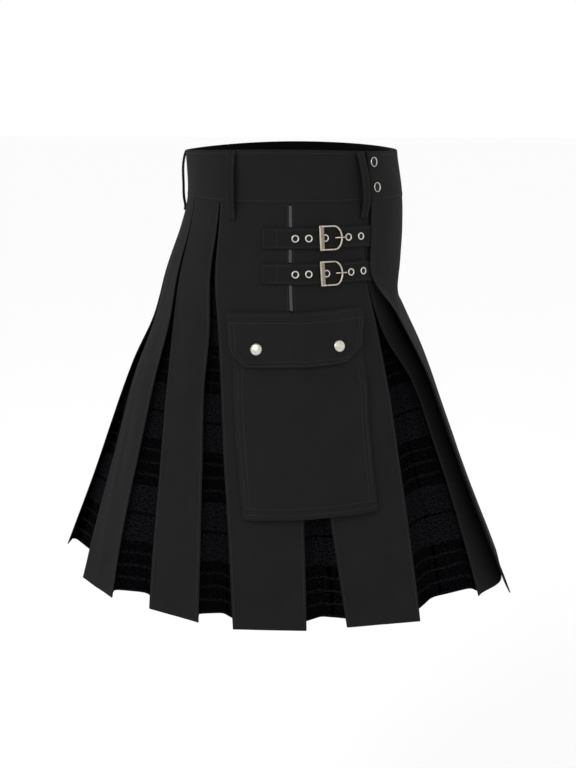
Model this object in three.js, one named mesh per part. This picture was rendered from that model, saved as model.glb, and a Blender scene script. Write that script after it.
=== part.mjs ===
// Utility kilt: black cotton strips over tartan insets, worn form, held at the waist.
// Millimetres, +Z up. Origin at the centre of the waist in the rim's plane.
// The front faces -Y and the wearer's right side faces -X.
import * as THREE from 'three';
import { mergeVertices } from 'three/addons/utils/BufferGeometryUtils.js';

// Driving sizes
const KILT_LENGTH = 610;
const BAND_HEIGHT = 68;
const RIM_DIP = 6;
const SEAM_GAP = 0.3;
const COTTON = 1.6;
const TARTAN = 1.2;
const BAND_WALL = 2.4;
const WRAP_RISE = 5.4;
const TARTAN_SHORTER = 7;
const TWIST_ROOM = 0.7;
const BEND_ROOM = 4.2;
const WRAP_STARTS_ANGLE = -96;
const WRAP_RAMP = 36;
const STRIP_FLATNESS = 0.92;
const SKIRT_TOP = BAND_HEIGHT + SEAM_GAP;

// Half sizes of the body's oval, down along the cloth
const OVAL = [
  { down: 0, side: 150, back: 138, front: 142 },
  { down: 70, side: 151, back: 137, front: 151 },
  { down: 110, side: 157, back: 147, front: 152 },
  { down: 170, side: 169, back: 168, front: 151 },
  { down: 240, side: 184, back: 188, front: 164 },
  { down: 320, side: 203, back: 222, front: 203 },
  { down: 420, side: 227, back: 258, front: 248 },
  { down: 520, side: 250, back: 293, front: 291 },
  { down: 610, side: 271, back: 327, front: 332 },
];

// Angle of each strip's two edges, in degrees from the back centre toward the side
const EDGES = [
  {
    down: 68,
    b0: -9.0, f0: 9.0, b1: 9.4, f1: 31.9, b2: 32.3, f2: 56.5,
    b3: 57.0, f3: 96.8, b4: 97.3, f4: 134.0, b5: 134.4,
  },
  {
    down: 150,
    b0: -9.5, f0: 9.5, b1: 13.2, f1: 35.2, b2: 35.6, f2: 58.6,
    b3: 60.8, f3: 97.2, b4: 98.0, f4: 137.7, b5: 138.3,
  },
  {
    down: 230,
    b0: -9.2, f0: 9.2, b1: 18.0, f1: 39.2, b2: 39.9, f2: 63.2,
    b3: 67.0, f3: 98.0, b4: 99.8, f4: 141.4, b5: 145.0,
  },
  {
    down: 310,
    b0: -8.6, f0: 8.6, b1: 22.4, f1: 43.0, b2: 48.2, f2: 66.3,
    b3: 72.5, f3: 99.3, b4: 103.2, f4: 136.0, b5: 150.2,
  },
  {
    down: 400,
    b0: -8.0, f0: 8.0, b1: 27.4, f1: 45.8, b2: 53.2, f2: 69.9,
    b3: 76.5, f3: 99.8, b4: 105.6, f4: 131.4, b5: 148.4,
  },
  {
    down: 500,
    b0: -7.4, f0: 7.4, b1: 30.0, f1: 47.6, b2: 56.8, f2: 72.6,
    b3: 80.0, f3: 99.5, b4: 107.0, f4: 128.1, b5: 146.7,
  },
  {
    down: 610,
    b0: -6.8, f0: 6.8, b1: 34.0, f1: 51.0, b2: 60.6, f2: 75.1,
    b3: 82.8, f3: 99.0, b4: 107.8, f4: 124.9, b5: 143.4,
  },
];

// How far each strip's edges stand out from the oval at the hem
const STRIPS = [
  { index: 0, backOut: -3, frontOut: -3 },
  { index: 1, backOut: -4, frontOut: 8 },
  { index: 2, backOut: -6, frontOut: 7 },
  { index: 3, backOut: 5, frontOut: 1 },
  { index: 4, backOut: 2, frontOut: 10 },
];

// The apron below the hips: half widths, how far forward its middle stands and its sides set back
const APRON = [
  { down: 150, right: 96, left: 104, front: 152, rightBack: 20, leftBack: 26 },
  { down: 200, right: 97, left: 104, front: 150, rightBack: 2, leftBack: 10 },
  { down: 240, right: 102, left: 110, front: 163, rightBack: -5.5, leftBack: 4 },
  { down: 310, right: 111, left: 121, front: 193.5, rightBack: -7.5, leftBack: 5.5 },
  { down: 400, right: 123, left: 134, front: 225.5, rightBack: -8.5, leftBack: 9.5 },
  { down: 500, right: 136, left: 148, front: 260, rightBack: -11, leftBack: 13 },
  { down: 610, right: 148, left: 163, front: 301.5, rightBack: -11.5, leftBack: 22.5 },
];
const APRON_RIGHT_ANGLE = 139.4;
const UNDER_LEFT_ANGLE = 211;
const APRON_LEAVES_BODY = 150;
const APRON_STANDS_FREE = 215;
const UNDER_GAP = 8;
const UNDER_LEFT_SHARE = 0.72;
const UNDER_LEAVES_BODY = 130;
const UNDER_STANDS_FREE = 220;
const UNDER_EDGE_OUT = 6;
const UNDER_EDGE_DROP = 9;
const UNDER_TURN_SHARE = 0.62;

// How the tartan folds behind the strips, down along the cloth
const PLEAT = [
  { down: 68, reach: 18, layer: 3.2, valley: 1.0 },
  { down: 230, reach: 15, layer: 3.8, valley: 3.0 },
  { down: 400, reach: 9, layer: 5.0, valley: 9.0 },
  { down: 610, reach: 5, layer: 7.0, valley: 15.0 },
];

// Belt loops, at angles from the back centre, toward the right when positive
const LOOP_WIDTH = 13;
const LOOP_CLOTH = 1.8;
const LOOPS = [
  { name: 'belt_loop_back', angle: 1.5, lift: 0 },
  { name: 'belt_loop_right_side', angle: 66, lift: 0 },
  { name: 'belt_loop_right_front', angle: 135.6, lift: 0 },
  { name: 'belt_loop_left_side', angle: -66, lift: 0 },
  { name: 'belt_loop_left_front', angle: -145, lift: WRAP_RISE },
];
const LOOP_RISE = [
  { down: 1, rise: 0 },
  { down: 8, rise: 2.6 },
  { down: 25, rise: 6.0 },
  { down: 50, rise: 6.8 },
  { down: 72, rise: 5.2 },
  { down: 82, rise: 1.6 },
  { down: 89, rise: 0.6 },
];

// The two straps and what is on them; places across are millimetres forward of the slit
const STRAP_WIDTH = 27;
const STRAP_CLOTH = 1.7;
const STRAP_LIFT = 1.1;
const STRAP_END_LIFT = 0.5;
const BUCKLE_LIFT = 1.3;
const STRAPS = [
  { name: 'strap_upper', middle: 111, tail: -37, tuck: 118, buckle: 51, eyelets: [6, 23, 44, 76, 95] },
  { name: 'strap_lower', middle: 156, tail: -36, tuck: 120, buckle: 52, eyelets: [6, 23, 46, 80, 99] },
];
const EYELET = { outer: 5, hole: 3.1, height: 0.9 };
const BUCKLE = { length: 32, width: 32, bar: 6, wire: 3.2, thick: 2.2, corner: 5 };
const TONGUE = { width: 3.2, thick: 1.6, length: 19 };
const BAND_SNAP = { radius: 6.5, height: 2.2, lift: 0.2 };
const BAND_SNAP_PLACES = [
  { down: 14, inset: 10.6 },
  { down: 49, inset: 12.1 },
];
const POCKET_SNAP = { radius: 7.6, height: 3.2, down: 249, shares: [0.194, 0.792] };

// The pocket hangs on the two side strips: its edges' angles and its thickness
const POCKET = [
  { down: 218, back: 73.6, front: 132.6, thick: 5 },
  { down: 260, back: 75.8, front: 129.6, thick: 8 },
  { down: 300, back: 77.4, front: 127.0, thick: 7 },
  { down: 350, back: 79.2, front: 123.8, thick: 9 },
  { down: 410, back: 81.6, front: 121.5, thick: 11 },
  { down: 455, back: 83.2, front: 120.5, thick: 12 },
  { down: 467, back: 83.6, front: 120.3, thick: 9 },
];
const POCKET_WALL = 1.5;
const POCKET_LIFT = 1.6;
const POCKET_ROWS = [218, 230, 250, 270, 305, 345, 390, 430, 457, 467];
const POCKET_SIDE = 4.4;
const POCKET_WIDTH = 155;
const EDGE_ROUNDING = 5;
const FLAP_EDGE_DROP = 3;
const POCKET_TILT = 6;
const FLAP_LIFT = 0.4;
const FLAP_ROWS = [204, 209, 214, 225, 236, 252, 263, 273];
const FLAP = [
  { down: 204, back: 70.6, front: 133.4, rise: 0.7 },
  { down: 214, back: 71.4, front: 132.8, rise: 9.0 },
  { down: 236, back: 73.2, front: 130.4, rise: 11.4 },
  { down: 252, back: 74.4, front: 128.6, rise: 12.0 },
  { down: 273, back: 81.0, front: 119.8, rise: 12.0 },
];

const colour = (hex, roughness, metalness) => ({ color: hex, roughness, metalness });
const BLACK_COTTON = colour(0x1c1c1d, 0.9, 0);
const DARK_TARTAN = colour(0x17171b, 0.95, 0);
const OLD_BRASS = colour(0x8d8168, 0.4, 1);
const NICKEL = colour(0xb9b4aa, 0.35, 1);

const kilt = new THREE.Group();

// Smooth value of a table's column at a height
function along(table, name, down) {
  const last = table.length - 1;
  const at = Math.min(Math.max(down, table[0].down), table[last].down);
  let row = 0;
  while (row < last - 1 && table[row + 1].down < at) row += 1;
  const slope = (i) => (table[i + 1][name] - table[i][name]) / (table[i + 1].down - table[i].down);
  const tangent = (i) => (slope(Math.max(i - 1, 0)) + slope(Math.min(i, last - 1))) / 2;
  const span = table[row + 1].down - table[row].down;
  const t = (at - table[row].down) / span;
  const values = mix(table[row][name], table[row + 1][name], ease(t));
  const leaving = tangent(row) * (t ** 3 - 2 * t ** 2 + t);
  const arriving = tangent(row + 1) * (t ** 3 - t ** 2);
  return values + span * (leaving + arriving);
}

const mix = (a, b, t) => a + (b - a) * t;
const ease = (t) => {
  const k = Math.min(Math.max(t, 0), 1);
  return k * k * (3 - 2 * k);
};
const fall = (down) => Math.min(Math.max((down - BAND_HEIGHT) / (KILT_LENGTH - BAND_HEIGHT), 0), 1);

// A point of the oval in plan, moved outward
function oval(angle, down, out = 0) {
  const a = THREE.MathUtils.degToRad(angle);
  const side = along(OVAL, 'side', down);
  const depth = along(OVAL, Math.cos(a) > 0 ? 'back' : 'front', down);
  const normal = new THREE.Vector2(-depth * Math.sin(a), side * Math.cos(a)).normalize();
  return new THREE.Vector2(-side * Math.sin(a), depth * Math.cos(a)).addScaledVector(normal, out);
}

// Height of each step down a line of cloth, which hangs straight to the band's lower edge
// and keeps its length below it
function heights(place) {
  const step = 5;
  const values = [0];
  for (let down = step; down <= KILT_LENGTH; down += step) {
    const moved = down - step < BAND_HEIGHT ? 0 : place(down).distanceTo(place(down - step));
    values.push(values[values.length - 1] - Math.sqrt(Math.max(step * step - moved * moved, 1)));
  }
  return (down) => {
    const place01 = Math.min(Math.max(down / step, 0), values.length - 1.001);
    const low = Math.floor(place01);
    return mix(values[low], values[low + 1], place01 - low);
  };
}

const DOWNS = [SKIRT_TOP, 110, 150, 190, 230, 270, 310, 355, 410, 475, 540, KILT_LENGTH];
const spread = (count, from, to) => Array.from({ length: count + 1 }, (_, i) => mix(from, to, i / count));

// The same surface with flat facets between the lines that a panel is built on
function faceted(surface, shares) {
  const step = (list, value) => {
    let low = 0;
    while (low < list.length - 2 && list[low + 1] < value) low += 1;
    return [low, (value - list[low]) / (list[low + 1] - list[low])];
  };
  return (share, down, out = 0) => {
    const [column, across] = step(shares, share);
    const [row, below] = step(DOWNS, down);
    const at = (i, j) => surface(shares[column + i], DOWNS[row + j], out);
    return at(0, 0).lerp(at(1, 0), across).lerp(at(0, 1).lerp(at(1, 1), across), below);
  };
}

// The rim dips a little at the front and at the back
function rimDip(angle, down) {
  const lean = Math.cos(THREE.MathUtils.degToRad(angle)) ** 2;
  return -RIM_DIP * lean * (1 - ease(down / BAND_HEIGHT));
}

// A strip's surface: share 0 is its back edge and 1 its front edge
function makeStrip({ index, backOut, frontOut }) {
  const angleAt = (share, down) => {
    return mix(along(EDGES, `b${index}`, down), along(EDGES, `f${index}`, down), share);
  };
  const edge = (share, down) => oval(angleAt(share, down), down, mix(backOut, frontOut, share) * fall(down));
  const plan = (share, down) => {
    const chord = edge(0, down).lerp(edge(1, down), share);
    return edge(share, down).lerp(chord, STRIP_FLATNESS * fall(down));
  };
  const height = heights((down) => plan(0.5, down));
  const point = (share, down, out = 0) => {
    const across = plan(share + 0.01, down).sub(plan(share - 0.01, down)).normalize();
    const flat = plan(share, down).add(new THREE.Vector2(across.y, -across.x).multiplyScalar(out));
    return new THREE.Vector3(flat.x, flat.y, height(down));
  };
  const shares = spread(index === 0 ? 2 : 4, 0, 1);
  return { point: faceted(point, shares), shares, angleAt };
}

const strips = STRIPS.map(makeStrip);

// A point on whatever strip lies at an angle, moved outward
function onStrips(angle, down, out) {
  for (let i = 0; i < strips.length; i += 1) {
    const back = strips[i].angleAt(0, down);
    const front = strips[i].angleAt(1, down);
    if (angle <= front && angle >= back) return strips[i].point((angle - back) / (front - back), down, out);
    const next = strips[i + 1];
    if (angle > front && next && angle < next.angleAt(0, down)) {
      const share = (angle - front) / (next.angleAt(0, down) - front);
      return strips[i].point(1, down, out).lerp(next.point(0, down, out), share);
    }
  }
  return onUnderApron(angle, down, out);
}

// How far the apron's plan is set back at a place across it
function apronBack(x, down) {
  if (x < 0) return along(APRON, 'rightBack', down) * (x / along(APRON, 'right', down)) ** 2;
  return along(APRON, 'leftBack', down) * (x / along(APRON, 'left', down)) ** 2;
}

// The apron in plan: share 0 is its free edge at the right and 1 its left edge
function apronPlan(share, down) {
  const high = oval(mix(APRON_RIGHT_ANGLE, 360 - along(EDGES, 'b5', down), share), down, WRAP_RISE);
  const x = mix(-along(APRON, 'right', down), along(APRON, 'left', down), share);
  const low = new THREE.Vector2(x, apronBack(x, down) - along(APRON, 'front', down));
  return high.lerp(low, ease((down - APRON_LEAVES_BODY) / (APRON_STANDS_FREE - APRON_LEAVES_BODY)));
}

const apronHeight = heights((down) => apronPlan(0.5, down));

function apronSurface(share, down, out) {
  const across = apronPlan(share + 0.01, down).sub(apronPlan(share - 0.01, down)).normalize();
  const flat = apronPlan(share, down).add(new THREE.Vector2(across.y, -across.x).multiplyScalar(out));
  return new THREE.Vector3(flat.x, flat.y, apronHeight(down));
}

const APRON_SHARES = spread(10, 0, 1);
const apronPoint = faceted(apronSurface, APRON_SHARES);

// The under apron in plan: share 0 is the edge that shows beside strip 4
function underPlan(share, down) {
  const backAngle = along(EDGES, 'b5', down);
  const high = oval(mix(backAngle, UNDER_LEFT_ANGLE, share), down);
  const edge = oval(backAngle, down, UNDER_EDGE_OUT * fall(down));
  const x = mix(edge.x, along(APRON, 'left', down) * UNDER_LEFT_SHARE, share);
  const inside = apronBack(x, down) - along(APRON, 'front', down) + UNDER_GAP;
  const turn = ease((x - edge.x) / (UNDER_TURN_SHARE * along(APRON, 'right', down)));
  const straight = edge.y + (inside - edge.y) * turn;
  const bent = new THREE.Vector2(x, Math.max(mix(straight, inside, turn), inside));
  return high.lerp(bent, ease((down - UNDER_LEAVES_BODY) / (UNDER_STANDS_FREE - UNDER_LEAVES_BODY)));
}

const underEdgeHeight = heights((down) => underPlan(0, down));
const underMiddleHeight = heights((down) => underPlan(0.5, down));

// The under apron hangs lower at its edge, where it goes less far forward
function underHeight(share, down) {
  const atEdge = underEdgeHeight(down) - UNDER_EDGE_DROP * fall(down);
  return mix(atEdge, underMiddleHeight(down), ease(share * 2));
}

function underSurface(share, down, out) {
  const across = underPlan(share + 0.01, down).sub(underPlan(share - 0.01, down)).normalize();
  const flat = underPlan(share, down).add(new THREE.Vector2(across.y, -across.x).multiplyScalar(out));
  return new THREE.Vector3(flat.x, flat.y, underHeight(share, down));
}

const UNDER_SHARES = [0, 0.05, 0.11, 0.18, 0.26, 0.35, 0.46, 0.6, 0.8, 1];
const underPoint = faceted(underSurface, UNDER_SHARES);

function onUnderApron(angle, down, out) {
  const back = along(EDGES, 'b5', down);
  return underPoint(Math.max(angle - back, 0) / (UNDER_LEFT_ANGLE - back), down, out);
}

const mirrored = (point) => new THREE.Vector3(-point.x, point.y, point.z);

// A closed body from an outer and an inner grid of the same size
function closedBody(outer, inner) {
  const rows = outer.length;
  const columns = outer[0].length;
  const positions = [];
  const index = [];
  for (const p of [...outer.flat(), ...inner.flat()]) positions.push(p.x, p.y, p.z);
  const at = (side, i, j) => side * rows * columns + i * columns + j;
  const quad = (a, b, c, d) => index.push(a, b, c, a, c, d);
  for (let i = 0; i < rows - 1; i += 1) {
    for (let j = 0; j < columns - 1; j += 1) {
      quad(at(0, i, j), at(0, i, j + 1), at(0, i + 1, j + 1), at(0, i + 1, j));
      quad(at(1, i, j), at(1, i + 1, j), at(1, i + 1, j + 1), at(1, i, j + 1));
    }
    quad(at(0, i, 0), at(0, i + 1, 0), at(1, i + 1, 0), at(1, i, 0));
    quad(at(0, i, columns - 1), at(1, i, columns - 1), at(1, i + 1, columns - 1), at(0, i + 1, columns - 1));
  }
  for (let j = 0; j < columns - 1; j += 1) {
    quad(at(0, 0, j), at(1, 0, j), at(1, 0, j + 1), at(0, 0, j + 1));
    quad(at(0, rows - 1, j), at(0, rows - 1, j + 1), at(1, rows - 1, j + 1), at(1, rows - 1, j));
  }
  const geometry = new THREE.BufferGeometry();
  geometry.setAttribute('position', new THREE.Float32BufferAttribute(positions, 3));
  geometry.setIndex(index);
  return geometry;
}

// Turns a closed geometry the right way round where its volume is negative
function facingOut(given) {
  given.deleteAttribute('normal');
  given.deleteAttribute('uv');
  const geometry = mergeVertices(given, 1e-4);
  const p = geometry.attributes.position;
  const index = geometry.index.array;
  const corner = (i) => new THREE.Vector3().fromBufferAttribute(p, index[i]);
  let volume = 0;
  for (let i = 0; i < index.length; i += 3) volume += corner(i).dot(corner(i + 1).cross(corner(i + 2)));
  if (volume < 0) {
    for (let i = 0; i < index.length; i += 3) {
      const swap = index[i + 1];
      index[i + 1] = index[i + 2];
      index[i + 2] = swap;
    }
  }
  geometry.computeVertexNormals();
  return geometry;
}

function add(name, geometry, look) {
  const mesh = new THREE.Mesh(facingOut(geometry), new THREE.MeshStandardMaterial(look));
  mesh.name = name;
  kilt.add(mesh);
  return mesh;
}

// A cloth panel: its surface function is asked for points moved out and in
function panel(surface, shares, downs, thickness) {
  const layer = (out) => shares.map((share) => downs.map((down) => surface(share, down, out)));
  return closedBody(layer(thickness / 2), layer(-thickness / 2));
}

function buildStrips() {
  for (let i = 0; i < strips.length; i += 1) {
    const { point, shares } = strips[i];
    const name = i === 0 ? 'strip_back_centre' : `strip_right_${i}`;
    add(name, panel(point, shares, DOWNS, COTTON), BLACK_COTTON);
    if (i === 0) continue;
    const left = (share, down, out) => mirrored(point(share, down, out));
    add(`strip_left_${i}`, panel(left, shares, DOWNS, COTTON), BLACK_COTTON);
  }
}

// The waistband wraps once round and once more over the front
function buildWaistband() {
  const start = UNDER_LEFT_ANGLE;
  const end = APRON_RIGHT_ANGLE - 360;
  const surface = (angle, down, out) => {
    const over = ease((WRAP_STARTS_ANGLE - angle) / WRAP_RAMP);
    const flat = oval(angle, down, out + over * WRAP_RISE);
    return new THREE.Vector3(flat.x, flat.y, -down + rimDip(angle, down));
  };
  add('waistband', panel(surface, spread(56, start, end), [0, 34, BAND_HEIGHT], BAND_WALL), BLACK_COTTON);
}

function buildAprons() {
  add('apron', panel(apronPoint, APRON_SHARES, DOWNS, COTTON), BLACK_COTTON);
  add('under_apron', panel(underPoint, UNDER_SHARES, DOWNS, COTTON), BLACK_COTTON);
}

// A tartan inset folds behind two panels' edges and dips between them
function insetPath(from, to, down, room) {
  const reach = along(PLEAT, 'reach', down);
  const layer = along(PLEAT, 'layer', down);
  const valley = along(PLEAT, 'valley', down);
  const behind = COTTON / 2 + SEAM_GAP + TARTAN / 2;
  const edgeIn = 0.6;
  const foldRound = 0.4;
  const path = [
    from(edgeIn, down, -behind),
    from(reach, down, -behind - TWIST_ROOM),
    from(reach + foldRound, down, -behind - layer),
  ];
  const far = [
    to(reach + foldRound, down, -behind - layer - room + TWIST_ROOM),
    to(reach, down, -behind - room),
    to(edgeIn, down, -behind),
  ];
  const low = path[2];
  const high = far[0];
  const inward = new THREE.Vector3(-(low.x + high.x), -(low.y + high.y), 0).normalize();
  for (const share of [0.3, 0.5, 0.7]) {
    const dip = valley * (1 - Math.abs(share - 0.5) * 1.6);
    path.push(low.clone().lerp(high, share).addScaledVector(inward, dip));
  }
  return path.concat(far);
}

// Gives a line of cloth its thickness in plan
function thicken(path, thickness) {
  const shifted = (sign) => path.map((p, i) => {
    const before = path[Math.max(i - 1, 0)];
    const after = path[Math.min(i + 1, path.length - 1)];
    const first = new THREE.Vector2(p.x - before.x, p.y - before.y).normalize();
    const second = new THREE.Vector2(after.x - p.x, after.y - p.y).normalize();
    if (i === 0) first.copy(second);
    if (i === path.length - 1) second.copy(first);
    const half = first.clone().add(second).normalize();
    const reach = thickness / 2 / Math.max(half.dot(first), 0.6);
    return new THREE.Vector3(p.x + half.y * reach * sign, p.y - half.x * reach * sign, p.z);
  });
  return [shifted(1), shifted(-1)];
}

function insetBody(from, to, room = TWIST_ROOM) {
  const layers = DOWNS.map((down) => {
    const at = Math.min(down, KILT_LENGTH - TARTAN_SHORTER);
    return thicken(insetPath(from, to, at, room), TARTAN);
  });
  const grid = (side) => layers[0][0].map((_, i) => layers.map((layer) => layer[side][i]));
  return closedBody(grid(0), grid(1));
}

// Turns a strip's share across into millimetres in from one of its edges
function fromEdge(surface, frontEdge) {
  return (distance, down, out) => {
    const width = surface(0, down).distanceTo(surface(1, down));
    const share = Math.min(distance / width, 0.42);
    return surface(frontEdge ? 1 - share : share, down, out);
  };
}

function buildInsets() {
  for (let i = 0; i < strips.length; i += 1) {
    const from = fromEdge(strips[i].point, true);
    const next = i + 1 < strips.length ? strips[i + 1].point : underPoint;
    const to = fromEdge(next, false);
    const room = i + 1 < strips.length ? TWIST_ROOM : BEND_ROOM;
    add(`tartan_right_${i}`, insetBody(from, to, room), DARK_TARTAN);
    const fromLeft = (distance, down, out) => mirrored(from(distance, down, out));
    const toLeft = i + 1 < strips.length
      ? (distance, down, out) => mirrored(to(distance, down, out))
      : fromEdge(apronPoint, true);
    add(`tartan_left_${i}`, insetBody(fromLeft, toLeft), DARK_TARTAN);
  }
}

// A belt loop stands off the band between its two sewn ends
function buildLoops() {
  const rest = BAND_WALL / 2 + SEAM_GAP + LOOP_CLOTH / 2;
  for (const { name, angle, lift } of LOOPS) {
      const half = LOOP_WIDTH / 2;
    const surface = (share, down, out) => {
      const height = rest + lift + along(LOOP_RISE, 'rise', down);
      const centre = oval(angle, down, height + out);
      const beside = oval(angle + 1, down, height + out).sub(centre).normalize();
      centre.addScaledVector(beside, mix(-half, half, share));
      return new THREE.Vector3(centre.x, centre.y, -down + rimDip(angle, down));
    };
    add(name, panel(surface, [0, 0.5, 1], LOOP_RISE.map((row) => row.down), LOOP_CLOTH), BLACK_COTTON);
  }
}

// Angle on the oval at a distance forward of the slit between strips 3 and 4
function angleForward(distance, down) {
  const start = (along(EDGES, 'f3', down) + along(EDGES, 'b4', down)) / 2;
  const perDegree = oval(start, down).distanceTo(oval(start + 1, down));
  return start + distance / perDegree;
}

// Puts a flat piece on the cloth: its local x runs forward, y up and z outward
function seat(geometry, angle, down, out, surface = onStrips) {
  const middle = surface(angle, down, out);
  const forward = surface(angle + 1, down, out).sub(surface(angle - 1, down, out)).normalize();
  const up = surface(angle, down - 4, out).sub(surface(angle, down + 4, out)).normalize();
  const outward = new THREE.Vector3().crossVectors(forward, up).normalize();
  up.crossVectors(outward, forward);
  const matrix = new THREE.Matrix4().makeBasis(forward, up, outward).setPosition(middle);
  return geometry.applyMatrix4(matrix);
}

// A turned piece without a seam, its axis along z
function turned(profile, segments) {
  const positions = [];
  const index = [];
  for (let s = 0; s < segments; s += 1) {
    const a = (2 * Math.PI * s) / segments;
    for (const [r, z] of profile) positions.push(r * Math.cos(a), r * Math.sin(a), z);
  }
  const n = profile.length;
  for (let s = 0; s < segments; s += 1) {
    const next = (s + 1) % segments;
    for (let k = 0; k < n; k += 1) {
      const up = (k + 1) % n;
      index.push(s * n + k, next * n + k, next * n + up, s * n + k, next * n + up, s * n + up);
    }
  }
  const geometry = new THREE.BufferGeometry();
  geometry.setAttribute('position', new THREE.Float32BufferAttribute(positions, 3));
  geometry.setIndex(index);
  return geometry;
}

function eyelet() {
  const { outer, hole, height } = EYELET;
  const shoulder = [outer - 0.5, height * 0.7];
  const crown = [(outer + hole) / 2, height];
  return turned([[hole, 0], [outer, 0], shoulder, crown, [hole, height * 0.6]], 14);
}

// A snap's cap: shares of its radius and height from the crown to the middle of its flat back
function dome(radius, height) {
  const profile = [[0, 1], [0.35, 0.93], [0.7, 0.66], [1, 0.2], [0.97, 0], [0, 0]];
  const points = profile.map(([r, z]) => new THREE.Vector2(radius * r, height * z));
  return new THREE.LatheGeometry(points, 18).rotateX(Math.PI / 2);
}

// The buckle's frame: a flat bar at the back and a round bow at the front
function buckleFrame() {
  const { length, width, bar, wire, thick, corner } = BUCKLE;
  const outline = (shape, left, right, half, round) => {
    shape.moveTo(left, -half);
    shape.lineTo(right - round * 1.6, -half);
    shape.bezierCurveTo(right - round * 0.2, -half, right, -half + round * 1.2, right, 0);
    shape.bezierCurveTo(right, half - round * 1.2, right - round * 0.2, half, right - round * 1.6, half);
    shape.lineTo(left, half);
    shape.lineTo(left, -half);
    return shape;
  };
  const shape = outline(new THREE.Shape(), -length / 2, length / 2, width / 2, corner * 1.8);
  const hole = new THREE.Path();
  shape.holes.push(outline(hole, -length / 2 + bar, length / 2 - wire, width / 2 - wire * 0.7, corner * 1.6));
  return new THREE.ExtrudeGeometry(shape, { depth: thick, bevelEnabled: false, curveSegments: 6 });
}

function tongue() {
  const { width, thick, length } = TONGUE;
  const side = new THREE.Shape();
  const rise = BUCKLE_LIFT + BUCKLE.thick + SEAM_GAP;
  side.moveTo(0, 0);
  side.lineTo(length * 0.45, rise);
  side.lineTo(length, rise);
  side.lineTo(length, rise + thick);
  side.lineTo(length * 0.4, rise + thick);
  side.lineTo(0, thick);
  side.lineTo(0, 0);
  const geometry = new THREE.ExtrudeGeometry(side, { depth: width, bevelEnabled: false });
  return geometry.translate(0, 0, -width / 2).rotateX(Math.PI / 2);
}

function buildStraps() {
  const rest = COTTON / 2 + SEAM_GAP + STRAP_LIFT + STRAP_CLOTH / 2;
  const top = rest + STRAP_CLOTH / 2 + SEAM_GAP;
  for (const { name, middle, tail, tuck, buckle, eyelets } of STRAPS) {
    const surface = (share, across, out) => {
      const down = middle + mix(-0.5, 0.5, across) * STRAP_WIDTH;
      const lift = STRAP_END_LIFT * ease((share - 0.91) / 0.05);
      return onStrips(angleForward(mix(tail, tuck, share), down), down, rest + lift + out);
    };
    add(name, panel(surface, spread(27, 0, 1), [0, 0.5, 1], STRAP_CLOTH), BLACK_COTTON);
    eyelets.forEach((place, i) => {
      add(`${name}_eyelet_${i + 1}`, seat(eyelet(), angleForward(place, middle), middle, top), NICKEL);
    });
    const angle = angleForward(buckle, middle);
    add(`${name}_buckle`, seat(buckleFrame(), angle, middle, top + BUCKLE_LIFT), OLD_BRASS);
    add(`${name}_tongue`, seat(tongue().translate(1.5, 0, 0), angle, middle, top), OLD_BRASS);
  }
}

function onApronBand(angle, down, out) {
  const flat = oval(angle, down, out + WRAP_RISE);
  return new THREE.Vector3(flat.x, flat.y, -down + rimDip(angle, down));
}

function buildBandSnaps() {
  const { radius, height, lift } = BAND_SNAP;
  const out = BAND_WALL / 2 + SEAM_GAP + lift;
  BAND_SNAP_PLACES.forEach(({ down, inset }, i) => {
    const perDegree = oval(APRON_RIGHT_ANGLE, down).distanceTo(oval(APRON_RIGHT_ANGLE + 1, down));
    const angle = APRON_RIGHT_ANGLE + inset / perDegree;
    add(`band_snap_${i + 1}`, seat(dome(radius, height), angle, down, out, onApronBand), NICKEL);
  });
}

// The pocket is sewn on a little out of level, its front edge the higher
const tilted = (share, down) => down + POCKET_TILT * (0.5 - share);

// The pocket is a flat pouch, open at the top under its flap
function buildPocket() {
  const first = COTTON / 2 + POCKET_LIFT;
  const shares = spread(8, 0, 1);
  const ring = (down, inset, floor) => {
    const back = along(POCKET, 'back', down);
    const front = along(POCKET, 'front', down);
    const thick = along(POCKET, 'thick', down);
    const at = Math.min(down, floor);
    const side = inset / POCKET_WIDTH;
    const place = (s, out) => onStrips(mix(back, front, mix(side, 1 - side, s)), tilted(s, at), out);
    const far = shares.map((s) => place(s, first + inset));
    const near = shares.map((s) => {
      const puff = mix(POCKET_SIDE, thick, 1 - Math.abs(2 * s - 1) ** EDGE_ROUNDING);
      return place(s, first + puff - inset);
    });
    return far.concat(near.reverse());
  };
  const last = POCKET_ROWS.length - 1;
  const bottom = POCKET_ROWS[last];
  const outer = POCKET_ROWS.map((down) => ring(down, 0, bottom));
  const inner = POCKET_ROWS.map((down) => ring(down, POCKET_WALL, bottom - POCKET_WALL)).reverse();
  const loops = outer.concat(inner);
  const size = loops[0].length;
  const positions = loops.flat().flatMap((p) => [p.x, p.y, p.z]);
  const index = [];
  for (let i = 0; i < loops.length; i += 1) {
    const next = (i + 1) % loops.length;
    if (i === last) continue;
    for (let j = 0; j < size; j += 1) {
      const k = (j + 1) % size;
      index.push(i * size + j, i * size + k, next * size + k, i * size + j, next * size + k, next * size + j);
    }
  }
  const cap = (row, flip) => {
    const half = size / 2;
    for (let j = 0; j < half - 1; j += 1) {
      const quad = [row * size + j, row * size + j + 1, row * size + size - 2 - j, row * size + size - 1 - j];
      if (flip) quad.reverse();
      index.push(quad[0], quad[1], quad[2], quad[0], quad[2], quad[3]);
    }
  };
  cap(last, false);
  cap(last + 1, true);
  const geometry = new THREE.BufferGeometry();
  geometry.setAttribute('position', new THREE.Float32BufferAttribute(positions, 3));
  geometry.setIndex(index);
  add('pocket', geometry, BLACK_COTTON);
}

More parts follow.
